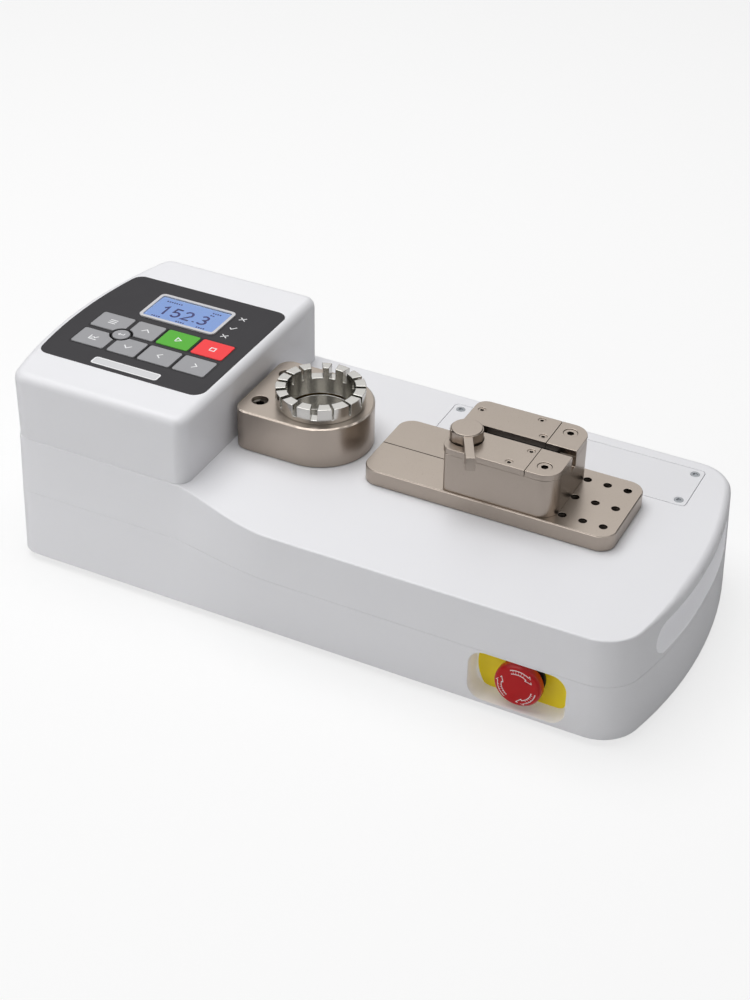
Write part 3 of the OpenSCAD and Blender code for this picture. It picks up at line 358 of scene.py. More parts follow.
@dataclass(frozen=True)
class BacklitGlass(Finish):
    """Liquid crystal glass: a blue backlight behind fine pixel rows, a little uneven from edge to edge."""

    glow: float = 0.6
    pixel_mm: float = 0.45
    cloud_mm: float = 30.0
    dimmed: Triple = (0.86, 0.88, 0.95)

    def dress(self, on: Surface) -> None:
        """Adds pixel rows and the unevenness of the backlight.

        Args:
            on: Surface to dress.
        """
        bands = {"bands_direction": "Y", "Scale": per_metre(self.pixel_mm) * WAVE_BAND}
        rows = add_node(on.tree, "TexWave", bands, {"Vector": on.at}).outputs["Fac"]
        cloud = on.noise(self.cloud_mm, detail=1.0)
        both = add_node(on.tree, "Math", {"operation": "ADD"}, {0: rows, 1: cloud}).outputs["Value"]
        tint = on.tint(self.colour, self.dimmed, both)
        on.feed({"Base Color": tint, "Emission Color": tint, "Emission Strength": self.glow})


@dataclass(frozen=True)
class ClearWindow(Finish):
    """Hard-coated acrylic window: clear, with a faint wipe-mark unevenness in its gloss."""

    wipe_mm: float = 12.0
    gloss: Point = (0.05, 0.14)
    ior: float = 1.2

    def dress(self, on: Surface) -> None:
        """Makes the sheet clear and adds the wipe marks."""
        gloss = on.spread(*self.gloss, on.noise(self.wipe_mm, detail=3.0))
        on.feed({"Roughness": gloss, "Transmission Weight": 1.0, "IOR": self.ior})


AXIS_Y = 9.4
RING_X = -39.5

# white plastic from a finely eroded tool: a soft sheen; the inside copy adds a faint painted glow that lights
# hollows lying in shade
WHITE_ABS = MouldedPlastic("moulded_white_abs", "#E7E7EA", 0.42)
COVER_ABS = MouldedPlastic("moulded_white_abs_cover", "#E4E4E7", 0.46)
# same white plastic with a painted glow, for the shaded hollows
INNER_ABS_PAINTED_GLOW = MouldedPlastic("moulded_white_abs_inside_painted_glow", "#E7E7E9", 0.5, painted_glow=0.14)
# black plastic and rubber: a low, broken sheen that dies out on the rubber
BLACK_NYLON = MouldedPlastic("moulded_black_nylon", "#1C1D1F", 0.5, grain_mm=0.7)
BLACK_RUBBER = MouldedPlastic("moulded_black_rubber", "#242426", 0.75, grain_mm=1.2, depth_mm=0.08)
# red plastic from a polished tool: deep colour under one sharp highlight
RED_NYLON = MouldedPlastic("polished_red_nylon", "#B8060E", 0.25, grain_mm=2.0, depth_mm=0.004, coat=0.12)
# printed plate and plain mouldings: strong even colour and a short, dull highlight; the yellow plate has a
# faint painted glow that lights it in its shaded recess
# the small emission here is painted glow
YELLOW_PLATE = MouldedPlastic(
    "printed_yellow_plate", "#F6DE0A", 0.4, grain_mm=0.8, depth_mm=0.01, painted_glow=0.02
)
RELAY_GREEN = MouldedPlastic("moulded_green_contact_block", "#2E6B3C", 0.5)
SILVER_FRAME = MouldedPlastic("moulded_silver_grey_frame", "#C9C8CA", 0.38, grain_mm=0.6)
# bare paper-like stock, sprayed enamel and lacquered board: flat, glossy and mottled
LABEL_STOCK = MouldedPlastic("bare_label_stock", "#CFCFD1", 0.5, grain_mm=0.5)
MOTOR_PAINT = MouldedPlastic("sprayed_black_motor_enamel", "#2C2E32", 0.35, grain_mm=1.0, coat=0.2)
SOLDER_MASK = MouldedPlastic("solder_masked_board", "#1E5A38", 0.35, grain_mm=1.5, mottle=0.1)
# film printed from behind, and inks on it: colour without depth under a velvet face
CHARCOAL_FILM = PrintedFilm("printed_charcoal_film", "#201E22", 0.5)
BLACK_INK = PrintedFilm("screened_black_ink", "#161417", 0.55)
WHITE_INK = PrintedFilm("screened_white_ink", "#E9E9EA", 0.5)
# the same film pressed up over the keys: a thin light line round each rim
GREY_KEY = PrintedFilm("embossed_grey_key_film", "#97979A", 0.42)
GREEN_KEY = PrintedFilm("embossed_green_key_film", "#4FA82C", 0.42)
RED_KEY = PrintedFilm("embossed_red_key_film", "#EE3A3E", 0.42)
LCD_INK = PrintedFilm("dark_crystal_segments", "#221E5A", 0.5)
# crystal lit from behind, seen through clear sheet: it glows more than it mirrors
LCD_BLUE = BacklitGlass("backlit_blue_crystal_glass", "#93A8C8", 0.3)
CLEAR_SHEET = ClearWindow("clear_acrylic_window", "#FFFFFF", 0.08)
# bead-blasted nickel: warm grey, with every reflection spread to a soft patch
SATIN_NICKEL = BareMetal("blasted_satin_nickel", "#B0A59B", 0.3)
# turned and polished steel: bright, with reflections drawn out across its rings
TURNED_STEEL = BareMetal(
    "turned_polished_steel", "#D2D0CC", 0.16, Lay.TURNED, 0.6, depth_mm=0.006, uneven=0.05,
    centre=(RING_X, AXIS_Y),
)
# porous bronze: dull gold; drilled bores, threads, screw sockets and the plate's groove: near black, as painted
# shade
BRONZE = BareMetal("sintered_bronze", "#B08D57", 0.4, grain_mm=0.4)
# near black painted shade for recesses in the metal
BORE_PAINTED_SHADE = BareMetal("drilled_bore_painted_shade", "#35302C", 0.5, grain_mm=0.4)
# plated screws and stamped sheet: grey, with small sharp lights on their edges
PLATED_SCREW = BareMetal("nickel_plated_screw", "#8F8B86", 0.3, grain_mm=0.35)
ZINC_SCREW = BareMetal("zinc_plated_screw", "#A3A6AA", 0.32, grain_mm=0.35)
TINNED_STEEL = BareMetal("stamped_tinned_steel", "#B9BCC0", 0.3, grain_mm=0.6)
# ground or milled along the pull: reflections are drawn out across the cut lines
JAW_STEEL = BareMetal("hardened_ground_steel", "#66676A", 0.3, Lay.ALONG_X, 0.35)
GROUND_STEEL = BareMetal("ground_bright_steel", "#C4C6C9", 0.2, Lay.ALONG_X, 0.3)
MILLED_ALLOY = BareMetal("milled_aluminium", "#B4B7BA", 0.34, Lay.ALONG_X, 0.5)


def in_metres(x: float, y: float, z: float) -> Vector:
    """Places a point given in millimetres in the row frame."""
    return Vector((x * MM, y * MM, z * MM))


def link(name: str, data: bpy.types.ID) -> Piece:
    """Puts a mesh, a lamp or a camera in the scene.

    Args:
        name: Name of the object.
        data: What it shows.

    Returns:
        The object.
    """
    made = bpy.data.objects.new(name, data)
    bpy.context.scene.collection.objects.link(made)
    return made


def settle(name: str, work: Work) -> Piece:
    """Turns a mesh under work into an object, and frees it.

    Args:
        name: Name of the object and of its mesh.
        work: Mesh under work, in metres.

    Returns:
        The object.
    """
    data = bpy.data.meshes.new(name)
    work.to_mesh(data)
    work.free()
    return link(name, data)


def polar(radius: float, degrees: float) -> Point:
    """Gives the point at a radius and an angle."""
    return (radius * math.cos(math.radians(degrees)), radius * math.sin(math.radians(degrees)))


def arc(cx: float, cy: float, rx: float, ry: float, start: float, end: float, steps: int = 12) -> list[Point]:
    """Samples an elliptical arc.

    Args:
        cx: Centre, across.
        cy: Centre, up.
        rx: Radius across.
        ry: Radius up.
        start: First angle in degrees.
        end: Last angle in degrees.
        steps: Number of pieces of the arc.

    Returns:
        The points from start to end.
    """
    angles = [math.radians(start + (end - start) * i / steps) for i in range(steps + 1)]
    return [(cx + rx * math.cos(a), cy + ry * math.sin(a)) for a in angles]


def rounded(cx: float, cy: float, width: float, depth: float, radius: float) -> list[Point]:
    """Gives a rounded rectangle.

    Args:
        cx: Middle, across.
        cy: Middle, up.
        width: Full width.
        depth: Full depth.
        radius: Radius of the corners.

    Returns:
        The outline, anticlockwise, with the same number of points for every size.
    """
    hx, hy = width / 2 - radius, depth / 2 - radius
    turns = ((hx, hy, 0), (-hx, hy, 90), (-hx, -hy, 180), (hx, -hy, 270))
    return [p for sx, sy, a in turns for p in arc(cx + sx, cy + sy, radius, radius, a, a + 90, CORNER_STEPS)]


def ribbon(points: Sequence[Point], width: float, closed: bool = False) -> tuple[list[Point], list[Point]]:
    """Offsets a line to both sides.

    Args:
        points: The line's points.
        width: Full width of the ribbon.
        closed: Whether the line runs round.

    Returns:
        The left and the right side, one point each for every point of the line.
    """
    left, right, n = [], [], len(points)
    for i, (x, y) in enumerate(points):
        before = points[(i - 1) % n] if closed or i else points[i]
        after = points[(i + 1) % n] if closed or i < n - 1 else points[i]
        a = Vector((x - before[0], y - before[1])) if before != points[i] else None
        b = Vector((after[0] - x, after[1] - y)) if after != points[i] else None
        a, b = (a or b).normalized(), (b or a).normalized()
        across = Vector((-a.y, a.x))
        normal = Vector((-(a.y + b.y), a.x + b.x))
        normal = normal.normalized() if normal.length > TINY else across
        mitre = min(MITRE_MOST, 1 / max(SHARPEST, normal.dot(across)))
        dx, dy = normal * (width / 2 * mitre)
        left.append((x + dx, y + dy))
        right.append((x - dx, y - dy))
    return left, right


@dataclass
class Inlay:
    """Thin printed or inlaid shapes that lie on a surface and share one finish."""

    name: str
    low: float
    high: float
    place: Placer = in_metres
    mesh: Work = field(default_factory=bmesh.new)

    def row(self, points: Sequence[Point], level: float) -> Row:
        """Adds the points of a line at one level."""
        return [self.mesh.verts.new(self.place(x, y, level)) for x, y in points]

    def wrap(self, first: Row, second: Row) -> None:
        """Joins two closed rows by a band of faces.

        Args:
            first: One row.
            second: The other, with as many points.
        """
        for i in range(len(first)):
            j = (i + 1) % len(first)
            self.mesh.faces.new((first[i], first[j], second[j], second[i]))

    def strip(self, outer: Sequence[Point], inner: Sequence[Point]) -> None:
        """Adds a closed band.

        Args:
            outer: Its outer outline.
            inner: Its inner outline, with as many points.
        """
        rings = [self.row(outer, self.low), self.row(outer, self.high)]
        rings += [self.row(inner, self.high), self.row(inner, self.low)]
        for k in range(4):
            self.wrap(rings[k], rings[(k + 1) % 4])

    def slab(self, outline: Sequence[Point]) -> None:
        """Adds a filled shape.

        Args:
            outline: Its outline, anticlockwise.
        """
        low, high = self.row(outline, self.low), self.row(outline, self.high)
        self.mesh.faces.new(list(reversed(low)))
        self.mesh.faces.new(high)
        self.wrap(low, high)

    def stroke(self, points: Sequence[Point], width: float, closed: bool = False) -> None:
        """Adds a drawn line of an even width, with one block to a step.

        Args:
            points: The line's points.
            width: Its width.
            closed: Whether it runs round.
        """
        left, right = ribbon(points, width, closed)
        if closed:
            self.strip(left, right)
            return
        rows = [self.row((a, b), self.low) + self.row((b, a), self.high) for a, b in zip(left, right)]
        for first, second in zip(rows, rows[1:]):
            self.wrap(first, second)
        self.mesh.faces.new(list(reversed(rows[0])))
        self.mesh.faces.new(rows[-1])

    def finish(self, shop: Workshop, finish: Finish, slot: str, body: str = "casing") -> Piece:
        """Turns what was drawn into a piece.

        Args:
            shop: Workshop that books the piece.
            finish: Finish of the piece.
            slot: Material slot of the record; not used.
            body: Body that the piece rides on.

        Returns:
            The piece.
        """
        bmesh.ops.recalc_face_normals(self.mesh, faces=self.mesh.faces)
        return shop.book(settle(self.name, self.mesh), finish, body)


def both_sides(places: Sequence[Point]) -> list[Point]:
    """Gives places on both sides of the pull line, from places before it."""
    return [(x, AXIS_Y + side * y) for x, y in places for side in (-1, 1)]


def near_axes(centres: Sequence[Point], radius: float, low: float, high: float) -> FaceTest:
    """Makes a test for faces that lie close to upright axes.

    Args:
        centres: Places of the axes.
        radius: Greatest distance of a face's centre from its axis.
        low: Least height.
        high: Greatest height.

    Returns:
        The test, which takes a face's centre in millimetres.
    """
    return lambda at: low < at.z < high and any(math.hypot(at.x - x, at.y - y) < radius for x, y in centres)


def in_boxes(*boxes: Box) -> FaceTest:
    """Makes a test for faces whose centre lies in any of some boxes, each given by its ends in x, y and z."""
    return lambda at: any(all(low < v < high for v, (low, high) in zip(at, box)) for box in boxes)


@dataclass
class Workshop:
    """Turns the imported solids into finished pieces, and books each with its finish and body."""

    frame: dict[str, Any]
    sharp_turn: float = 32.0
    smooth_turn: float = 45.0
    weld: float = 0.002
    flat_turn: float = 0.3
    bodies: dict[str, str] = field(init=False)
    slots: dict[str, str] = field(init=False)

    def __post_init__(self) -> None:
        """Reads which body and which slot each node has."""
        record = self.frame["record"]
        self.bodies = {node: body for body, nodes in record["behaviour"]["bodies"].items() for node in nodes}
        self.slots = {part["node"]: part["material_slot"] for part in record["subparts"]}

    def book(self, piece: Piece, finish: Finish, body: str) -> Piece:
        """Gives a piece its finish and body, and reports it.

        Args:
            piece: The piece.
            finish: Its finish, where it has no material yet.
            body: Body that it rides on.

        Returns:
            The piece.
        """
        if not piece.data.materials:
            piece.data.materials.append(finish.material())
        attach(piece, body)
        LOG.info("%s: %s, rides on %s", piece.name, finish.name, body)
        return piece

    def cleaned(self, node: str) -> bpy.types.Mesh:
        """Copies a node's solid, welded and with its flat faces merged.

        Args:
            node: Node whose solid gives the form.

        Returns:
            The new mesh, without materials.
        """
        data = self.frame["nodes"][node].data.copy()
        data.materials.clear()
        work = bmesh.new()
        work.from_mesh(data)
        for face in work.faces:
            face.material_index = 0
        bmesh.ops.remove_doubles(work, verts=work.verts, dist=self.weld * MM)
        bmesh.ops.dissolve_limit(
            work, angle_limit=math.radians(self.flat_turn), use_dissolve_boundaries=False,
            verts=work.verts, edges=work.edges,
        )
        work.normal_update()
        work.to_mesh(data)
        work.free()
        return data

    def ease(
        self, node: str, finish: Finish, edge: float, accents: Sequence[tuple[FaceTest, Finish]] = ()
    ) -> Piece:
        """Makes a finished piece from a node's solid, with its sharp edges broken.

        Args:
            node: Node whose solid gives the form.
            finish: Finish of the piece.
            edge: Width of the broken edge, 0 for none.
            accents: Tests on a face's centre in millimetres, each with the finish it selects.

        Returns:
            The piece, which stands for the node.
        """
        data = self.cleaned(node)
        data.materials.append(finish.material())
        piece = link(f"{node}_finished", data)
        if edge:
            bevel = piece.modifiers.new("broken_edges", "BEVEL")
            bevel.width, bevel.segments = edge * MM, 2
            bevel.limit_method, bevel.angle_limit = "ANGLE", math.radians(self.sharp_turn)
            bevel.use_clamp_overlap = False
        view = bpy.context.evaluated_depsgraph_get()
        shaped = bpy.data.meshes.new_from_object(piece.evaluated_get(view))
        piece.modifiers.clear()
        piece.data = shaped
        shaped.name = piece.name
        shaped.shade_smooth()
        shaped.set_sharp_from_angle(angle=math.radians(self.smooth_turn))
        even = piece.modifiers.new("even_normals", "WEIGHTED_NORMAL")
        even.keep_sharp, even.weight = True, 100
        for number, (chosen, other) in enumerate(accents, start=1):
            shaped.materials.append(other.material())
            for face in shaped.polygons:
                if chosen(face.center / MM):
                    face.material_index = number
        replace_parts(piece, node)
        return self.book(piece, finish, self.bodies[node])


@dataclass
class Part:
    """A part of the instrument that finishes its own pieces."""

    def build(self, shop: Workshop) -> None:
        """Finishes the part's pieces.

        Args:
            shop: Workshop that makes and books them.
        """
        raise NotImplementedError


@dataclass
class Casing(Part):
    """The two mouldings, the raised head's shell, the service cover and the feet."""

    # floor, roof, back and both cheeks of the hand hold, which get the painted glow
    hold: tuple[Box, ...] = (
        ((192.0, 216.0), (-63.4, 63.4), (45.6, 46.5)),
        ((192.0, 216.0), (-63.4, 63.4), (66.5, 67.4)),
        ((192.0, 194.0), (-63.4, 63.4), (45.6, 67.4)),
        ((192.0, 206.0), (-63.4, -52.0), (45.6, 67.4)),
        ((192.0, 206.0), (52.0, 63.4), (45.6, 67.4)),
    )
    # faces of the stop's recess, which get the painted glow
    stop_recess: Box = ((111.2, 171.4), (-97.2, -83.3), (7.0, 41.8))

    def build(self, shop: Workshop) -> None:
        """Finishes the mouldings and their fastenings, with a painted glow that lights the hollows for the hand
        and the stop.

        Args:
            shop: Workshop that makes and books the pieces.
        """
        shop.ease("base_tray", WHITE_ABS, edge=0.35, accents=((in_boxes(self.stop_recess), INNER_ABS_PAINTED_GLOW),))
        shop.ease("main_cover", WHITE_ABS, edge=0.35, accents=((in_boxes(*self.hold), INNER_ABS_PAINTED_GLOW),))
        shop.ease("head_housing", WHITE_ABS, edge=0.2)
        shop.ease("service_cover", COVER_ABS, edge=0.3)
        for node in ("service_screws", "casing_screws"):
            shop.ease(node, ZINC_SCREW, edge=0.12)
        shop.ease("feet", BLACK_RUBBER, edge=0.3)


class Glyph(Enum):
    """Plain signs printed on the keys, drawn in a box one wide and one high about its middle."""

    UP = [[(-0.5, -0.25), (0.0, 0.3), (0.5, -0.25)]]
    DOWN = [[(-0.5, 0.25), (0.0, -0.3), (0.5, 0.25)]]
    LEFT = [[(0.2, -0.45), (-0.3, 0.0), (0.2, 0.45)]]
    RIGHT = [[(-0.2, -0.45), (0.3, 0.0), (-0.2, 0.45)]]
    LINES = [[(-0.5, 0.35), (0.5, 0.35)], [(-0.5, 0.0), (0.5, 0.0)], [(-0.5, -0.35), (0.5, -0.35)]]
    GRAPH = [
        [(-0.5, 0.45), (-0.5, -0.4), (0.5, -0.4)],
        [(-0.35, -0.2), (-0.05, 0.1), (0.15, -0.05), (0.45, 0.35)],
    ]
    GO = [[(-0.25, -0.42), (0.4, 0.0), (-0.25, 0.42), (-0.25, -0.42)]]
    HALT = [[(-0.32, -0.32), (0.32, -0.32), (0.32, 0.32), (-0.32, 0.32), (-0.32, -0.32)]]
    RETURN = [[(0.45, 0.35), (0.45, -0.05), (-0.4, -0.05)], [(-0.15, 0.2), (-0.42, -0.05), (-0.15, -0.3)]]
    CROSS = [[(-0.5, -0.4), (0.5, 0.4)], [(-0.5, 0.4), (0.5, -0.4)]]
    TICK = [[(-0.5, 0.0), (-0.15, -0.35), (0.5, 0.4)]]

    def drawn(self, x: float, y: float, size: float) -> list[list[Point]]:
        """Gives the sign's lines about a point, at a size."""
        return [[(x + u * size, y + v * size) for u, v in line] for line in self.value]


# strokes of the display's signs, in a box 0.6 wide and 1 high
DIGITS: dict[str, list[list[Point]]] = {
    "1": [[(0.1, 0.76), (0.34, 0.97), (0.34, 0.0)]],
    "2": [arc(0.3, 0.7, 0.25, 0.27, 165, -35, 10) + [(0.06, 0.04), (0.58, 0.04)]],
    "3": [arc(0.28, 0.74, 0.23, 0.23, 150, -90, 10) + arc(0.28, 0.27, 0.27, 0.24, 90, -150, 10)[1:]],
    "5": [[(0.54, 0.96), (0.13, 0.96), (0.09, 0.53)] + arc(0.3, 0.31, 0.26, 0.28, 120, -150, 12)],
    ".": [[(0.1, 0.02), (0.1, 0.14)]],
}


@dataclass(frozen=True)
class Key:
    """One key of the panel: its node, place, finish and sign."""

    node: str
    x: float
    y: float
    width: float
    finish: Finish
    glyph: Glyph


@dataclass
class Display(Part):
    """The backlit display behind its window, set in a frame on the overlay."""

    top: float
    ink: float
    middle: Point = (-149.4, 35.0)
    # width, depth and corner radius
    bezel: Triple = (55.6, 31.2, 3.4)
    bezel_hole: Triple = (51.4, 26.9, 1.6)
    skirt: Triple = (52.2, 27.8, 1.2)
    skirt_hole: Triple = (51.4, 26.9, 0.8)
    bezel_up: float = 0.9
    glass_down: float = 0.8
    number: str = "152.3"
    number_at: Point = (-19.0, -6.4)
    digit_h: float = 10.4
    digit_line: float = 1.6
    advance: float = 0.8
    point_advance: float = 0.32
    # rows of small dashes that stand for the display's small print: height, then spans across
    rows: tuple[tuple[float, tuple[tuple[int, int], ...]], ...] = (
        (9.6, ((-21, -9), (13, 21))),
        (6.6, ((13, 18),)),
        (-10.2, ((-21, -13), (-3, 4), (12, 20))),
    )
    dash_pitch: float = 1.7
    dash: float = 1.1
    dash_line: float = 1.3

    def draw_number(self, inlay: Inlay) -> None:
        """Draws the plain number and the rows of dashes.

        Args:
            inlay: Inlay to draw on.
        """
        cx, cy = self.middle
        x = cx + self.number_at[0]
        for sign in self.number:
            for line in DIGITS[sign]:
                points = [(x + u * self.digit_h, cy + self.number_at[1] + v * self.digit_h) for u, v in line]
                inlay.stroke(points, self.digit_line)
            x += self.digit_h * (self.point_advance if sign == "." else self.advance)
        for rise, spans in self.rows:
            for start, end in spans:
                for i in range(int((end - start) / self.dash_pitch)):
                    left = cx + start + i * self.dash_pitch
                    inlay.stroke([(left, cy + rise), (left + self.dash, cy + rise)], self.dash_line)

    def build(self, shop: Workshop) -> None:
        """Builds the display: frame, glass, crystal and a plain number.

        Args:
            shop: Workshop that makes and books the pieces.
        """
        frame = Inlay("display_frame", self.top, self.top + self.bezel_up)
        frame.strip(rounded(*self.middle, *self.bezel), rounded(*self.middle, *self.bezel_hole))
        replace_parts(frame.finish(shop, SILVER_FRAME, "silver_frame"), "display_bezel")
        skirt = Inlay("display_skirt", self.top - self.glass_down, self.top + self.ink)
        skirt.strip(rounded(*self.middle, *self.skirt), rounded(*self.middle, *self.skirt_hole))
        skirt.finish(shop, BLACK_INK, "black_plastic")
        shop.ease("display_window", CLEAR_SHEET, edge=0.1)
        shop.ease("lcd_module", LCD_BLUE, edge=0.1)
        digits = Inlay("display_digits", self.top - self.glass_down, self.top - self.glass_down + self.ink)
        self.draw_number(digits)
        digits.finish(shop, LCD_INK, "lcd_blue")


@dataclass
class ControlPanel(Part):
    """The film overlay with its keys, its marks and its display."""

    top: float = 120.8
    ink: float = 0.03
    key_up: float = 0.5
    key_depth: float = 18.0
    key_radius: float = 1.6
    key_edge: float = 0.28
    border: float = 1.3
    gap: float = 0.2
    sign: Point = (5.4, 0.75)
    enter: Point = (-173.0, -6.4)
    enter_r: float = 5.6
    enter_border_r: float = 7.1
    enter_clear_r: float = 7.6
    enter_sign: Point = (4.4, 0.6)
    keys: tuple[Key, ...] = (
        Key("key_menu", -186.0, 4.4, 23.5, GREY_KEY, Glyph.LINES),
        Key("key_data", -186.0, -17.6, 23.5, GREY_KEY, Glyph.GRAPH),
        Key("key_up_arrow", -161.4, 4.4, 20.0, GREY_KEY, Glyph.UP),
        Key("key_down_arrow", -161.4, -17.6, 20.0, GREY_KEY, Glyph.DOWN),
        Key("key_start", -137.8, 4.4, 23.0, GREEN_KEY, Glyph.GO),
        Key("key_stop", -112.8, 4.4, 22.5, RED_KEY, Glyph.HALT),
        Key("key_left", -137.8, -17.6, 23.0, GREY_KEY, Glyph.LEFT),
        Key("key_right", -112.8, -17.6, 22.5, GREY_KEY, Glyph.RIGHT),
    )
    mark_x: float = -115.2
    marks: tuple[tuple[float, Glyph], ...] = ((46.3, Glyph.CROSS), (33.7, Glyph.TICK), (22.7, Glyph.CROSS))
    mark: Point = (4.2, 0.7)
    # middle, width, depth and corner radius
    label: tuple[float, ...] = (-148.7, -39.35, 45.6, 5.9, 1.0)
    label_frame: tuple[float, ...] = (-148.7, -39.35, 47.4, 7.7, 1.9)

    def outline(self, key: Key, grow: float) -> list[Point]:
        """Gives a key's outline grown by a margin, with its corner cut round the middle key.

        Args:
            key: The key.
            grow: Margin all round.

        Returns:
            The outline, anticlockwise, with the same number of points for every margin.
        """
        hx, hy, r = key.width / 2 + grow, self.key_depth / 2 + grow, self.key_radius
        cut, points = self.enter_clear_r - grow, []
        for sx, sy, a in ((1, 1, 0), (-1, 1, 90), (-1, -1, 180), (1, -1, 270)):
            corner = (key.x + sx * hx, key.y + sy * hy)
            if math.dist(corner, self.enter) >= cut:
                points += arc(corner[0] - sx * r, corner[1] - sy * r, r, r, a, a + 90, CORNER_STEPS)
                continue
            on_side = self.enter[1] - sy * math.sqrt(cut**2 - (corner[0] - self.enter[0]) ** 2)
            on_end = self.enter[0] - sx * math.sqrt(cut**2 - (corner[1] - self.enter[1]) ** 2)
            ends = [(corner[0], on_side), (on_end, corner[1])]
            first, last = ends if sx * sy > 0 else ends[::-1]
            b, e = [math.degrees(math.atan2(y - self.enter[1], x - self.enter[0])) for x, y in (first, last)]
            e += 360 if e - b < -180 else -360 if e - b > 180 else 0
            points += arc(*self.enter, cut, cut, b, e, CORNER_STEPS)
        return points

    def print_sign(self, shop: Workshop, node: str, glyph: Glyph, at: Point, sign: Point) -> None:
        """Prints the sign of a key.

        Args:
            shop: Workshop that books the sign.
            node: Node of the key.
            glyph: The sign.
            at: Middle of the key.
            sign: Size of the sign and width of its lines.
        """
        inlay = Inlay(f"{node}_sign", self.top + self.key_up, self.top + self.key_up + self.ink)
        for line in glyph.drawn(*at, sign[0]):
            inlay.stroke(line, sign[1])
        inlay.finish(shop, WHITE_INK, shop.slots[node], node)

    def draw_keys(self, shop: Workshop) -> None:
        """Finishes the keys, and prints their black surrounds and their signs.

        Args:
            shop: Workshop that makes the pieces.
        """
        edges = Inlay("key_surrounds", self.top, self.top + self.ink)
        for key in self.keys:
            shop.ease(key.node, key.finish, self.key_edge)
            edges.strip(self.outline(key, self.border), self.outline(key, self.gap))
            self.print_sign(shop, key.node, key.glyph, (key.x, key.y), self.sign)
        radii = (self.enter_border_r, self.enter_r + self.gap)
        edges.strip(*[arc(*self.enter, r, r, 0, 360, steps=48)[:-1] for r in radii])
        edges.finish(shop, BLACK_INK, "charcoal_overlay")
        shop.ease("key_enter", GREY_KEY, self.key_edge)
        self.print_sign(shop, "key_enter", Glyph.RETURN, self.enter, self.enter_sign)

    def draw_marks(self, shop: Workshop) -> None:
        """Prints the result marks beside the display, and the bare label strip.

        Args:
            shop: Workshop that books the prints.
        """
        marks = Inlay("result_marks", self.top, self.top + self.ink)
        for y, glyph in self.marks:
            for line in glyph.drawn(self.mark_x, y, self.mark[0]):
                marks.stroke(line, self.mark[1])
        marks.finish(shop, WHITE_INK, "charcoal_overlay")
        strip = Inlay("label_strip", self.top, self.top + self.ink)
        strip.slab(rounded(*self.label))
        strip.finish(shop, LABEL_STOCK, "charcoal_overlay")
        frame = Inlay("label_strip_frame", self.top, self.top + self.ink * 2)
        frame.strip(rounded(*self.label_frame), rounded(*self.label))
        frame.finish(shop, WHITE_INK, "charcoal_overlay")

    def build(self, shop: Workshop) -> None:
        """Finishes the whole panel.

        Args:
            shop: Workshop that makes and books the pieces.
        """
        shop.ease("panel_overlay", CHARCOAL_FILM, edge=0.0)
        shop.ease("key_board", SOLDER_MASK, edge=0.1)
        self.draw_keys(shop)
        self.draw_marks(shop)
        Display(self.top, self.ink).build(shop)


@dataclass
class RearSockets(Part):
    """Mains inlet, power rocker and data port in the recess behind the head."""

    pins: Box = ((-183.2, -166.8), (77.8, 99.0), (94.3, 101.1))

    def build(self, shop: Workshop) -> None:
        """Finishes the sockets, with bright pins.

        Args:
            shop: Workshop that makes and books the pieces.
        """
        shop.ease("power_inlet", BLACK_NYLON, edge=0.2, accents=((in_boxes(self.pins), PLATED_SCREW),))
        shop.ease("rocker_frame", BLACK_NYLON, edge=0.2)
        shop.ease("power_rocker", RED_NYLON, edge=0.25)
        shop.ease("usb_port", TINNED_STEEL, edge=0.12)


@dataclass
class EmergencyStop(Part):
    """The mushroom head in its recess, the yellow plate, the collar and the contacts."""

    x: float = 141.3
    z: float = 24.4
    face_y: float = -97.0
    radius: float = 14.5
    # the face is flat to this share of its radius, then falls by the drop over the run
    flat_share: float = 0.72
    fall_run: float = 0.18
    fall_drop: float = 0.6
    ink: Point = (0.005, 0.05)
    arrows: tuple[float, ...] = (112.0, 232.0, 352.0)
    sweep: float = 58.0
    tip: Point = (10.4, 80.0)
    band: Point = (9.2, 11.6)
    barbs: Point = (8.2, 12.6)
    line: float = 0.4
    tick: Point = (9.6, 11.2)
    tick_line: float = 0.35
    tick_angles: tuple[float, ...] = (8.0, 17.0, 26.0, 35.0, 44.0)

    def on_face(self, u: float, v: float, out: float) -> Vector:
        """Places a point on the head's face.

        Args:
            u: Distance right of the middle, seen from the front.
            v: Distance above the middle.
            out: Distance out of the face.

        Returns:
            The place in metres.
        """
        past = max(0.0, math.hypot(u, v) / self.radius - self.flat_share)
        drop = self.fall_drop * past / self.fall_run
        return in_metres(self.x + u, self.face_y + drop - out, self.z + v)

    def arrow(self, start: float) -> list[Point]:
        """Gives the outline of one curved release arrow, which turns clockwise.

        Args:
            start: Angle of its tail, in degrees.

        Returns:
            The outline.
        """
        low, high = self.band
        end = start - self.sweep
        head = [polar(self.barbs[1], end), polar(self.tip[0], start - self.tip[1]), polar(self.barbs[0], end)]
        return arc(0, 0, high, high, start, end) + head + arc(0, 0, low, low, end, start)

    def build(self, shop: Workshop) -> None:
        """Finishes the stop and prints its three release arrows.

        Args:
            shop: Workshop that makes and books the pieces.
        """
        shop.ease("stop_head", RED_NYLON, edge=0.2)
        arrows = Inlay("stop_release_arrows", *self.ink, self.on_face)
        for start in self.arrows:
            arrows.stroke(self.arrow(start), self.line, closed=True)
            for angle in self.tick_angles:
                arrows.stroke([polar(r, start - angle) for r in self.tick], self.tick_line)
        arrows.finish(shop, WHITE_INK, "red_plastic", "stop_head")
        for node in ("stop_stem", "stop_collar"):
            shop.ease(node, BLACK_NYLON, edge=0.2)
        shop.ease("stop_legend", YELLOW_PLATE, edge=0.1)
        shop.ease("stop_contacts", RELAY_GREEN, edge=0.3)


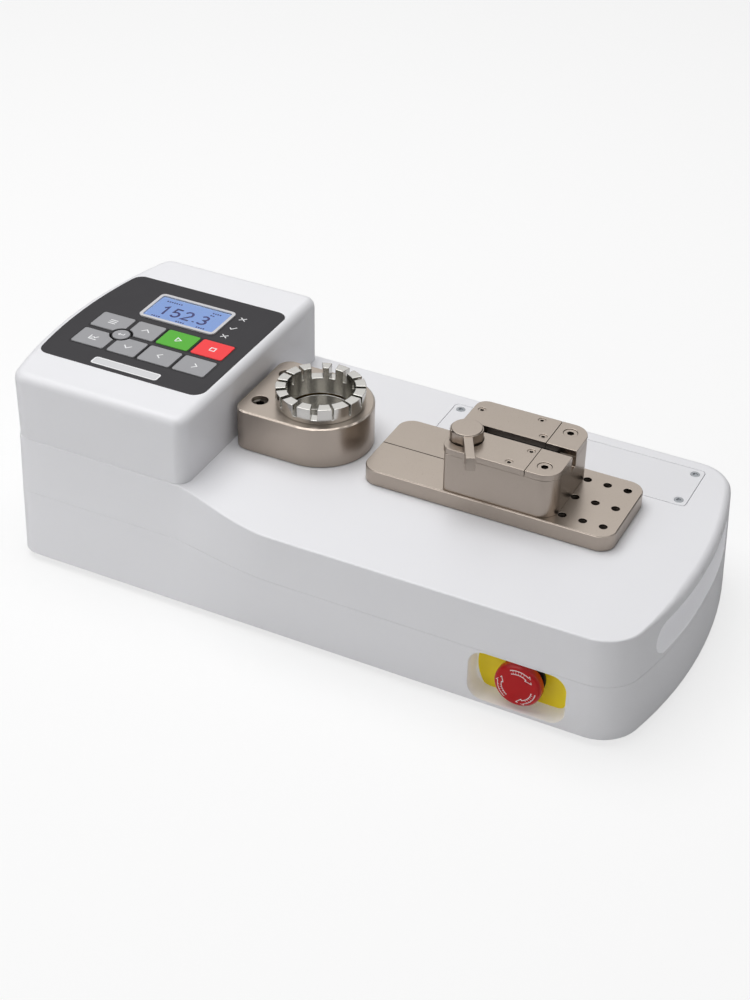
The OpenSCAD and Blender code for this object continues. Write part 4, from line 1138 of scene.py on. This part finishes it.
@dataclass
class TerminalFixture(Part):
    """The D-shaped block with its slotted ring, and the load cell under it."""

    well_r: float = 26.3
    well_top: float = 102.6
    screws: tuple[Point, ...] = ((-72.6, 17.3),)
    socket_r: float = 2.8
    socket_z: Point = (95.0, 102.5)

    def build(self, shop: Workshop) -> None:
        """Finishes the fixture, with a polished well under the ring and painted shade in its screw sockets.

        Args:
            shop: Workshop that makes and books the pieces.
        """
        well = near_axes([(RING_X, AXIS_Y)], self.well_r, 0.0, self.well_top)
        # the screw sockets are painted near black as shade
        sockets = near_axes(both_sides(self.screws), self.socket_r, *self.socket_z)
        shop.ease("fixture_block", SATIN_NICKEL, edge=0.2, accents=((well, TURNED_STEEL),))
        shop.ease("ring_sleeve", BRONZE, edge=0.15)
        shop.ease("slot_ring", TURNED_STEEL, edge=0.28)
        shop.ease("fixture_screws", PLATED_SCREW, edge=0.2, accents=((sockets, BORE_PAINTED_SHADE),))
        for node in ("load_cell", "cell_bridge"):
            shop.ease(node, MILLED_ALLOY, edge=0.3)


@dataclass(frozen=True)
class Thread:
    """A standing thread ridge inside a tapped hole."""

    root: float
    crest: float
    length: float
    pitch: float = 0.8
    steps: int = 20
    # half widths of the ridge at its foot and at its tip, as shares of the pitch
    foot_half: float = 0.42
    tip_half: float = 0.06

    def wind(self, work: Work, start: Vector) -> None:
        """Winds the ridge into a mesh.

        Args:
            work: Mesh to add to, in metres.
            start: Lower end of the hole's axis, in millimetres.
        """
        along = Vector((0, 0, 1))
        side = along.orthogonal().normalized()
        other = along.cross(side)
        profile = (
            (self.root, -self.foot_half), (self.crest, -self.tip_half),
            (self.crest, self.tip_half), (self.root, self.foot_half),
        )
        rows, count = [], int(self.length / self.pitch * self.steps)
        for i in range(count + 1):
            a = 2 * math.pi * i / self.steps
            axis = start + along * (self.length * i / count)
            out = side * math.cos(a) + other * math.sin(a)
            rows.append([work.verts.new((axis + out * r + along * (s * self.pitch)) * MM) for r, s in profile])
        for a, b in zip(rows, rows[1:]):
            for k in range(3):
                work.faces.new((a[k], a[k + 1], b[k + 1], b[k]))


@dataclass
class WireGrip(Part):
    """The travelling plate with its accessory holes, the cam grip on it and the lever."""

    grid_x: float = 142.5
    pitch: Point = (12.7, 20.32)
    thread: Thread = Thread(root=2.52, crest=2.18, length=8.4)
    thread_foot: float = 76.3
    bore_wall: Triple = (2.55, 0.0, 85.5)
    groove: Box = ((-300.0, 300.0), (8.8, 10.0), (85.55, 85.88))
    socket_z: Point = (111.9, 114.9)
    cap_screws: tuple[Point, ...] = ((116.6, 20.0),)
    cap_socket_r: float = 2.6
    cover_screws: tuple[Point, ...] = ((60.0, 19.0), (96.4, 25.0), (103.7, 9.0))
    cover_socket_r: float = 1.5

    def holes(self) -> list[Point]:
        """Gives the places of the nine accessory holes."""
        dx, dy = self.pitch
        return [(self.grid_x + i * dx, AXIS_Y + j * dy) for i in (-1, 0, 1) for j in (-1, 0, 1)]

    def tap_holes(self, shop: Workshop) -> None:
        """Cuts the thread inside the accessory holes.

        Args:
            shop: Workshop that books the threads.
        """
        work = bmesh.new()
        for x, y in self.holes():
            self.thread.wind(work, Vector((x, y, self.thread_foot)))
        # the thread is painted near black, as shade inside the holes
        shop.book(settle("accessory_threads", work), BORE_PAINTED_SHADE, "grip_carriage")

    def build(self, shop: Workshop) -> None:
        """Finishes the grip, with painted shade in its holes, its groove and its screw sockets.

        Args:
            shop: Workshop that makes and books the pieces.
        """
        bores = near_axes(self.holes(), *self.bore_wall)
        # holes and groove are painted near black as shade
        dark = ((bores, BORE_PAINTED_SHADE), (in_boxes(self.groove), BORE_PAINTED_SHADE))
        shop.ease("grip_plate", SATIN_NICKEL, edge=0.15, accents=dark)
        shop.ease("grip_body", SATIN_NICKEL, edge=0.25)
        for node in ("front_cover", "rear_cover", "front_cap", "rear_cap"):
            shop.ease(node, SATIN_NICKEL, edge=0.22)
        for node, places, radius in (
            ("cap_screws", self.cap_screws, self.cap_socket_r),
            ("cover_screws", self.cover_screws, self.cover_socket_r),
        ):
            # screw sockets are painted near black as shade
            sockets = near_axes(both_sides(places), radius, *self.socket_z)
            shop.ease(node, SATIN_NICKEL, edge=0.1, accents=((sockets, BORE_PAINTED_SHADE),))
        for node in ("jaw_front", "jaw_rear"):
            shop.ease(node, JAW_STEEL, edge=0.2)
        shop.ease("jaw_pins", GROUND_STEEL, edge=0.15)
        shop.ease("cam_lever", SATIN_NICKEL, edge=0.3)
        self.tap_holes(shop)


@dataclass
class DriveTrain(Part):
    """Carriage, screw, rods, motor and the chassis plate, all inside the casing."""

    edge: float = 0.3
    board_edge: float = 0.1

    def build(self, shop: Workshop) -> None:
        """Finishes the drive.

        Args:
            shop: Workshop that makes and books the pieces.
        """
        for node in ("carriage", "bearing_blocks", "shaft_coupling", "motor_bracket", "chassis_plate"):
            shop.ease(node, MILLED_ALLOY, self.edge)
        shop.ease("lead_screw", GROUND_STEEL, self.edge)
        shop.ease("guide_rods", GROUND_STEEL, self.edge)
        shop.ease("motor", MOTOR_PAINT, self.edge)
        shop.ease("power_supply", TINNED_STEEL, self.edge)
        shop.ease("main_board", SOLDER_MASK, self.board_edge)


@dataclass(frozen=True)
class Lamp:
    """One square soft lamp, in metres and watts."""

    name: str
    place: Triple
    aim: Triple
    size: float
    power: float
    mirrored: bool = True

    def hang(self) -> None:
        """Puts the lamp in the scene."""
        data = bpy.data.lights.new(self.name, "AREA")
        data.shape, data.size, data.energy = "SQUARE", self.size, self.power
        made = link(self.name, data)
        made.location = self.place
        made.rotation_euler = (Vector(self.aim) - Vector(self.place)).to_track_quat("-Z", "Y").to_euler()
        made.visible_glossy = self.mirrored


@dataclass
class Studio:
    """Camera at the photograph's viewing angle, soft lamps and a pale floor."""

    eye: Triple = (424.87, -869.46, 729.89)
    turn: Triple = (54.7779, -0.9259, 26.5129)
    lens: float = 68.626
    sensor: float = 36.0
    clip: Point = (0.05, 50.0)
    ambient: float = 0.28
    # what metal mirrors: from a dim room below to softboxes overhead
    room: Point = (0.1, 1.4)
    room_rise: Point = (0.05, 0.85)
    # tall softboxes that stand round the room
    bands: int = 3
    band_phase: float = -1.17
    band_edge: Point = (-0.5, 0.5)
    band: Point = (0.3, 1.0)
    floor_size: float = 6.0
    floor_white: float = 0.72
    floor_mirrored: float = 0.2
    lamps: tuple[Lamp, ...] = (
        Lamp("top_lamp", (-0.35, 0.1, 1.6), (0.0, 0.0, 0.08), 1.4, 21.5),
        Lamp("front_lamp", (-1.0, -1.5, 0.5), (0.0, 0.0, 0.05), 0.9, 5.6, mirrored=False),
    )

    def camera(self) -> None:
        """Sets up the camera that was fitted to the photograph."""
        data = bpy.data.cameras.new("camera")
        data.lens, data.sensor_width = self.lens, self.sensor
        data.clip_start, data.clip_end = self.clip
        made = link("camera", data)
        made.location = in_metres(*self.eye)
        made.rotation_euler = Euler([math.radians(a) for a in self.turn], "XYZ")
        bpy.context.scene.camera = made

    def smooth(self, tree: Tree, value: Socket, source: Point, target: Point) -> Socket:
        """Eases a value from one range to another.

        Args:
            tree: Node tree to add to.
            value: The value.
            source: Ends of its range.
            target: Ends of the new range.

        Returns:
            The new value, level at both ends.
        """
        ends = {"From Min": source[0], "From Max": source[1], "To Min": target[0], "To Max": target[1]}
        settings = {"interpolation_type": "SMOOTHSTEP", **ends}
        return add_node(tree, "MapRange", settings, {"Value": value}).outputs["Result"]

    def mirrored_room(self, tree: Tree) -> Socket:
        """Draws the room that metal mirrors.

        Args:
            tree: Node tree of the world.

        Returns:
            The room's light, by direction.
        """
        way = add_node(tree, "TexCoord").outputs["Generated"]
        up = add_node(tree, "SeparateXYZ", links={"Vector": way}).outputs["Z"]
        height = self.smooth(tree, up, self.room_rise, self.room)
        # upright metal mirrors the softboxes and the gaps between them
        turn = add_node(tree, "TexGradient", {"gradient_type": "RADIAL"}, {"Vector": way}).outputs["Fac"]
        cycle = {"operation": "MULTIPLY_ADD", "#1": 2 * math.pi * self.bands, "#2": self.band_phase}
        angle = add_node(tree, "Math", cycle, {0: turn}).outputs["Value"]
        wave = add_node(tree, "Math", {"operation": "SINE"}, {0: angle}).outputs["Value"]
        bands = self.smooth(tree, wave, self.band_edge, self.band)
        return add_node(tree, "Math", {"operation": "MULTIPLY"}, {0: height, 1: bands}).outputs["Value"]

    def world(self) -> None:
        """Lights the scene evenly, shows white where nothing stands, and gives metal a room to mirror."""
        world = bpy.data.worlds.new("studio_world")
        bpy.context.scene.world = world
        world.use_nodes = True
        tree = world.node_tree
        tree.nodes.clear()
        path = add_node(tree, "LightPath").outputs
        room = self.mirrored_room(tree)
        # a mix node's plain values are its inputs 2 and 3
        lit = add_node(tree, "Mix", {"#2": self.ambient}, {0: path["Is Glossy Ray"], 3: room}).outputs[0]
        either = {0: path["Is Camera Ray"], 1: path["Is Transmission Ray"]}
        seen = add_node(tree, "Math", {"operation": "ADD", "use_clamp": True}, either).outputs["Value"]
        level = add_node(tree, "Mix", {"#3": 1.0}, {0: seen, 2: lit}).outputs[0]
        sky = add_node(tree, "Background", {"Color": WHITE}, {"Strength": level})
        add_node(tree, "OutputWorld", links={"Surface": sky.outputs["Background"]})

    def floor(self) -> None:
        """Lays the pale floor, which keeps the object's shadow."""
        work = bmesh.new()
        bmesh.ops.create_grid(work, x_segments=8, y_segments=8, size=self.floor_size)
        made = settle("floor", work)
        material = bpy.data.materials.new("pale_studio_floor")
        material.use_nodes = True
        tree = material.node_tree
        shader = tree.nodes["Principled BSDF"]
        for name, value in (("Base Color", linear("#F4F4F4")), ("Roughness", 0.9), ("Specular IOR Level", 0.0)):
            shader.inputs[name].default_value = value
        path = add_node(tree, "LightPath").outputs
        white = add_node(tree, "Emission", {"Color": WHITE, "Strength": 1.0}).outputs["Emission"]
        dim = add_node(tree, "Emission", {"Color": WHITE, "Strength": self.floor_mirrored}).outputs["Emission"]
        share = {"operation": "MULTIPLY", "#1": self.floor_white}
        seen = add_node(tree, "Math", share, {0: path["Is Camera Ray"]}).outputs["Value"]
        plain = add_node(tree, "MixShader", links={0: seen, 1: shader.outputs["BSDF"], 2: white})
        mix = add_node(tree, "MixShader", links={0: path["Is Glossy Ray"], 1: plain.outputs["Shader"], 2: dim})
        tree.links.new(mix.outputs["Shader"], tree.nodes["Material Output"].inputs["Surface"])
        made.data.materials.append(material)

    def build(self) -> None:
        """Sets the studio."""
        bpy.context.scene.view_settings.view_transform = "Standard"
        self.camera()
        self.world()
        self.floor()
        for lamp in self.lamps:
            lamp.hang()


def main() -> None:
    """Builds the instrument's looks in order."""
    logging.basicConfig(level=logging.INFO, format="%(name)s: %(message)s")
    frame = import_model()
    Studio().build()
    shop = Workshop(frame)
    for part in (
        Casing(), ControlPanel(), RearSockets(), EmergencyStop(), TerminalFixture(), WireGrip(), DriveTrain()
    ):
        part.build(shop)
        LOG.info("%s is done", type(part).__name__)


if __name__ == "__main__":
    main()
